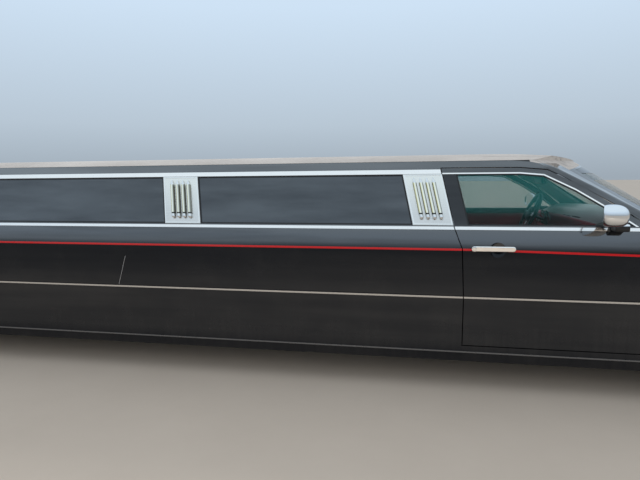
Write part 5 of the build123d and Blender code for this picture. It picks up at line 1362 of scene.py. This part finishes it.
net("grille_net", 4.150, 0.350, 0.560, 0.834, 0.003)
net("intake_net", 4.166, 0.425, 0.304, 0.436, 0.004, 0.06)
plate_white = grained("blank_plate", (0.52, 0.52, 0.50), (0.60, 0.60, 0.58), 200.0, 0.4, 0.0002)
blank = ((4.2975, -0.152, 0.394), (4.3000, 0.152, 0.545), 0.0010)
bricks("blank_plate_front", plate_white, (blank,), slot="body_paint")
shape = bmesh.new()
rim = ((-0.155, 0.391), (0.155, 0.391), (0.155, 0.548), (-0.155, 0.548))
rim_strip(shape, [Vector((4.2965, y, z)) for y, z in rim], 0.007, 0.002)
fitted("plate_frame_front", shape, chrome, slot="bright_trim")
shape = bmesh.new()
for x, z, way in ((4.2995, 0.495, 1.0), (-4.2905, 0.560, -1.0)):
    for y in (-0.089, 0.089):
        turned(shape, SCREW, (x, y, z), way * AHEAD, 20)
fitted("plate_screws", shape, chrome, slot="bright_trim")
print("bowls in each headlamp:", len(BOWLS))

# %% [markdown]
# ## Wipers
# The wipers follow the curved glass, so their points are found by casting rays onto the packed
# windshield. Modelling them flat and bending them would miss the glass at its corners. A small
# square is carried from point to point instead.

# %% Wipers
WIPERS = ((0.58, -0.02), (0.02, -0.58))
WIPER_STEPS = 12
KNUCKLE = ((0.0, 0.014), (0.012, 0.012), (0.014, 0.0), (0.014, -0.014), (0.0, -0.014))
glass = tree_of("windshield")


def on_glass(y, z, out):
    """A point on the windshield's outer face, standing out from it."""
    return met(glass, (4.5, y, z), -AHEAD, out)


def bar_along(shape, points, wide, high):
    """A small square section extruded from point to point."""
    up = Vector((0.0, 0.0, 1.0))
    ends = []
    for index, point in enumerate(points):
        ahead = (points[min(index + 1, len(points) - 1)] - points[max(index - 1, 0)]).normalized()
        across = ahead.cross(up).normalized() * wide / 2
        rise = across.cross(ahead).normalized() * high / 2
        square = ((-1, -1), (1, -1), (1, 1), (-1, 1))
        ends.append(looped(shape, [point + across * a + rise * b for a, b in square]))
    skinned(shape, ends)


shape = bmesh.new()
for pivot_y, far_y in WIPERS:
    steps = [step / WIPER_STEPS for step in range(WIPER_STEPS + 1)]
    blade = [on_glass(pivot_y + (far_y - pivot_y) * part, 1.078 + 0.012 * part, 0.010) for part in steps]
    bar_along(shape, blade, 0.009, 0.012)
    bar_along(shape, [point + Vector((0.004, 0.0, 0.008)) for point in blade[1:-1]], 0.005, 0.005)
    middle = blade[WIPER_STEPS // 2] + Vector((0.008, 0.0, 0.010))
    pivot = on_glass(pivot_y - 0.02, 1.052, 0.016)
    bar_along(shape, [pivot, pivot.lerp(middle, 0.5) + Vector((0.006, 0.0, 0.004)), middle], 0.014, 0.009)
    turned(shape, KNUCKLE, pivot, (0.4, 0.0, 0.9), 20, ACROSS)
fitted("wipers", shape, trim_plastic)
print("wipers lie from y", WIPERS[0][0], "to", WIPERS[-1][1])

# %% [markdown]
# ## Boot lid trim
# A slim bright strip follows the lid's curved rear face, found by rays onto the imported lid, and
# a round lock sits above it. They ride on the lid, so they lift with it.

# %% Boot lid trim
LOCK = (
    (0.0, 0.001), (0.006, 0.001), (0.007, 0.003), (0.014, 0.003), (0.016, 0.0), (0.016, -0.006),
    (0.0, -0.006),
)
lid = tree_of("trunk_lid")
strip = [met(lid, (-5.0, -0.62 + 0.04 * step, 0.815), AHEAD, 0.002) for step in range(32)]
shape = bmesh.new()
bar_along(shape, strip, 0.006, 0.018)
turned(shape, LOCK, met(lid, (-5.0, 0.0, 0.870), AHEAD), -AHEAD, 32)
fitted("lid_trim", shape, chrome, body="trunk_lid", slot="bright_trim")
print("lid strip stands at x", round(min(point.x for point in strip), 4))

# %% [markdown]
# ## Felt over the wheel houses
# A wheel house stops short of the outer panel, and on the car a strip of felt fills that joint
# so that no daylight shows in the boot. It is a small square spun part of the way round the axle.

# %% Arch felts
HOUSE_RADIUS = 0.4155
HOUSE_EDGE = 0.884
felt = grained("felt", (0.012, 0.012, 0.012), (0.026, 0.025, 0.024), 600.0, 0.92, 0.0012)
for (end, axle_x), panel in zip(AXLES, ("front_fenders", "rear_quarters")):
    wall = met(tree_of(panel), (axle_x, 0.80, WHEEL_Z + HOUSE_RADIUS), ACROSS)
    shape = bmesh.new()
    for _, side in BOTH:
        near, far = side * (HOUSE_EDGE - 0.003), side * (wall.y + 0.001)
        corners = ((near, -0.004), (far, -0.004), (far, 0.010), (near, 0.010))
        edges = looped(shape, [(axle_x + HOUSE_RADIUS + rise, y, WHEEL_Z) for y, rise in corners])
        verts = list({vert for edge in edges for vert in edge.verts})
        bmesh.ops.spin(
            shape, geom=verts + edges, cent=(axle_x, 0.0, WHEEL_Z), axis=-ACROSS, angle=pi, steps=40,
        )
    caps = [edge for edge in shape.edges if edge.is_boundary]
    bmesh.ops.holes_fill(shape, edges=caps, sides=4)
    fitted(f"arch_felt_{end}", shape, felt)
    print(end, "felt is", round(1000 * (wall.y - HOUSE_EDGE)), "mm wide")

# %% [markdown]
# ## Under the hood and in the boot
# The hood and the boot lid open, so both show something real: a ribbed cover on the engine
# block, a battery, an air box, reservoirs with caps, and a carpet mat in the boot.

# %% Engine bay and boot
OIL_CAP = ((0.0, 0.0), (0.030, 0.0), (0.030, 0.010), (0.026, 0.018), (0.0, 0.018))
POLE = ((0.0, 0.0), (0.010, 0.0), (0.009, 0.016), (0.0, 0.016))
TANK_CAP = ((0.0, 0.0), (0.024, 0.0), (0.024, 0.014), (0.0, 0.014))
CAPS = (
    (OIL_CAP, (3.20, 0.18, 0.872), 24), (POLE, (3.85, -0.47, 0.770), 16), (POLE, (3.85, -0.55, 0.770), 16),
    (TANK_CAP, (3.70, -0.45, 0.760), 24),
)
cover_black = grained("engine_cover", (0.012, 0.012, 0.013), (0.024, 0.024, 0.026), 380.0, 0.42, 0.0005)
milky = grained("milky_plastic", (0.50, 0.49, 0.44), (0.60, 0.59, 0.54), 120.0, 0.4, 0.0004)
carpet = grained("boot_carpet", (0.010, 0.010, 0.011), (0.030, 0.030, 0.032), 900.0, 0.9, 0.0015)
ribs = [-0.156 + 0.052 * index for index in range(7)]
bricks("engine_cover", cover_black, (
    ((3.13, -0.225, 0.836), (3.62, 0.225, 0.872), 0.016, 4),
    *(((3.17, y - 0.010, 0.866), (3.50, y + 0.010, 0.880), 0.004) for y in ribs),
    ((3.74, 0.34, 0.560), (3.96, 0.62, 0.760), 0.020, 4),
    ((3.62, 0.12, 0.770), (3.80, 0.20, 0.845), 0.020, 4),
    ((3.76, -0.60, 0.590), (3.94, -0.42, 0.770), 0.008),
))
shape = bmesh.new()
for profile, at, steps in CAPS:
    turned(shape, profile, at, (0.0, 0.0, 1.0), steps, AHEAD)
fitted("engine_caps", shape, satin, slot="bright_trim")
bricks("coolant_tank", milky, (((3.64, -0.50, 0.600), (3.74, -0.40, 0.760), 0.014, 3),))
bricks("boot_mat", carpet, (((-4.05, -0.60, 0.4985), (-3.40, 0.60, 0.508), 0.004),))
print("the engine cover has", len(ribs), "ribs")

# %% [markdown]
# ## Studio
# The floor and the sky are plain and pale. What the camera and the reflections see of the sky is
# a gradient, darker at the horizon, while an even light of its own falls on the car, as under an
# overcast sky. A soft lamp on each side, hidden from reflections, adds a little direction.

# %% Floor, world and lamps
SKY_NODES = (
    ("light", "LightPath"), ("place", "TexCoord"), ("split", "SeparateXYZ"), ("ramp", "ValToRGB"),
    ("lit", "Background"), ("seen", "Background"), ("blend", "MixShader"), ("out", "OutputWorld"),
    ("either", "Math"), ("any", "Math"),
)
SKY_LINKS = (
    ("place", "Generated", "split", 0), ("split", 2, "ramp", 0), ("ramp", 0, "seen", 0),
    ("light", "Is Camera Ray", "either", 0), ("light", "Is Glossy Ray", "either", 1),
    ("either", 0, "any", 0), ("light", "Is Transmission Ray", "any", 1), ("any", 0, "blend", 0),
    ("lit", 0, "blend", 1), ("seen", 0, "blend", 2), ("blend", 0, "out", 0),
)
LAMPS = (("key_lamp", (-0.5, 7.0, 6.5), 5.0, 540.0), ("fill_lamp", (1.2, -8.5, 3.4), 4.0, 120.0))
LAMP_AIM = Vector((0.5, 0.0, 0.8))


def studio():
    """A pale floor, a plain sky and two soft lamps."""
    floor_mesh = bpy.data.meshes.new("studio_floor")
    shape = bmesh.new()
    bmesh.ops.create_grid(shape, x_segments=1, y_segments=1, size=200.0)
    shape.to_mesh(floor_mesh)
    shape.free()
    floor = bpy.data.objects.new("studio_floor", floor_mesh)
    scene.collection.objects.link(floor)
    paint = Finish("studio_floor_paint", Roughness=0.9)
    where = paint.place()[0]
    sand = paint.noise(where, 1.1, 8.0, 0.7)
    paint.set(Base_Color=paint.mix(sand, (0.56, 0.487, 0.405), (0.65, 0.573, 0.482)))
    floor_mesh.materials.append(paint.material)
    world = bpy.data.worlds.new("studio_sky")
    scene.world = world
    world.use_nodes = True
    tree = world.node_tree
    tree.nodes.clear()
    node = {}
    for key, kind in SKY_NODES:
        node[key] = tree.nodes.new("ShaderNode" + kind)
    node["either"].operation = node["any"].operation = "MAXIMUM"
    ramp = node["ramp"].color_ramp
    ramp.elements[0].position = 0.0
    ramp.elements[0].color = (0.34, 0.40, 0.46, 1.0)
    ramp.elements[1].position = 0.62
    ramp.elements[1].color = (0.74, 0.88, 1.0, 1.0)
    for place, colour in ((0.10, (0.48, 0.57, 0.66)), (0.30, (0.62, 0.76, 0.91))):
        ramp.elements.new(place).color = (*colour, 1.0)
    node["lit"].inputs[0].default_value = (0.88, 0.93, 1.0, 1.0)
    node["lit"].inputs[1].default_value = 0.78
    node["seen"].inputs[1].default_value = 1.0
    for source, output, target, entry in SKY_LINKS:
        tree.links.new(node[source].outputs[output], node[target].inputs[entry])
    for name, place, size, power in LAMPS:
        data = bpy.data.lights.new(name, "AREA")
        data.size = size
        data.energy = power
        lamp = bpy.data.objects.new(name, data)
        scene.collection.objects.link(lamp)
        lamp.visible_glossy = False
        aim = LAMP_AIM - Vector(place)
        lamp.matrix_world = Matrix.Translation(place) @ aim.to_track_quat("-Z", "Y").to_matrix().to_4x4()


studio()
print("lamps:", ", ".join(name for name, *_ in LAMPS))

# %% [markdown]
# ## Camera
# The photograph's lines fix the camera: 4.2 m from the car's middle line on its right side, at
# the height of the windows' upper edge, turned to the rear and tilted down.

# %% Camera
EYE = Vector((1.543, -4.155, 1.33))
FOCAL_PIXELS = 515.0
IMAGE_PIXELS = 640.0
YAW, PITCH, ROLL = radians(11.27), radians(6.76), radians(-0.535)


def photograph_camera():
    """The camera that took the photograph."""
    forward = Vector((-sin(YAW) * cos(PITCH), cos(YAW) * cos(PITCH), -sin(PITCH)))
    right = forward.cross(Vector((0, 0, 1))).normalized()
    up = right.cross(forward)
    turned_right = right * cos(ROLL) + up * sin(ROLL)
    turned_up = up * cos(ROLL) - right * sin(ROLL)
    data = bpy.data.cameras.new("camera")
    data.sensor_width = 36.0
    data.lens = data.sensor_width * FOCAL_PIXELS / IMAGE_PIXELS
    data.clip_end = 200.0
    camera = bpy.data.objects.new("camera", data)
    scene.collection.objects.link(camera)
    turn = Matrix((turned_right, turned_up, -forward)).transposed().to_4x4()
    camera.matrix_world = Matrix.Translation(EYE) @ turn
    scene.camera = camera
    print("camera at", tuple(EYE), "with a lens of", round(data.lens, 2), "mm")


photograph_camera()
scene.view_settings.view_transform = "Standard"
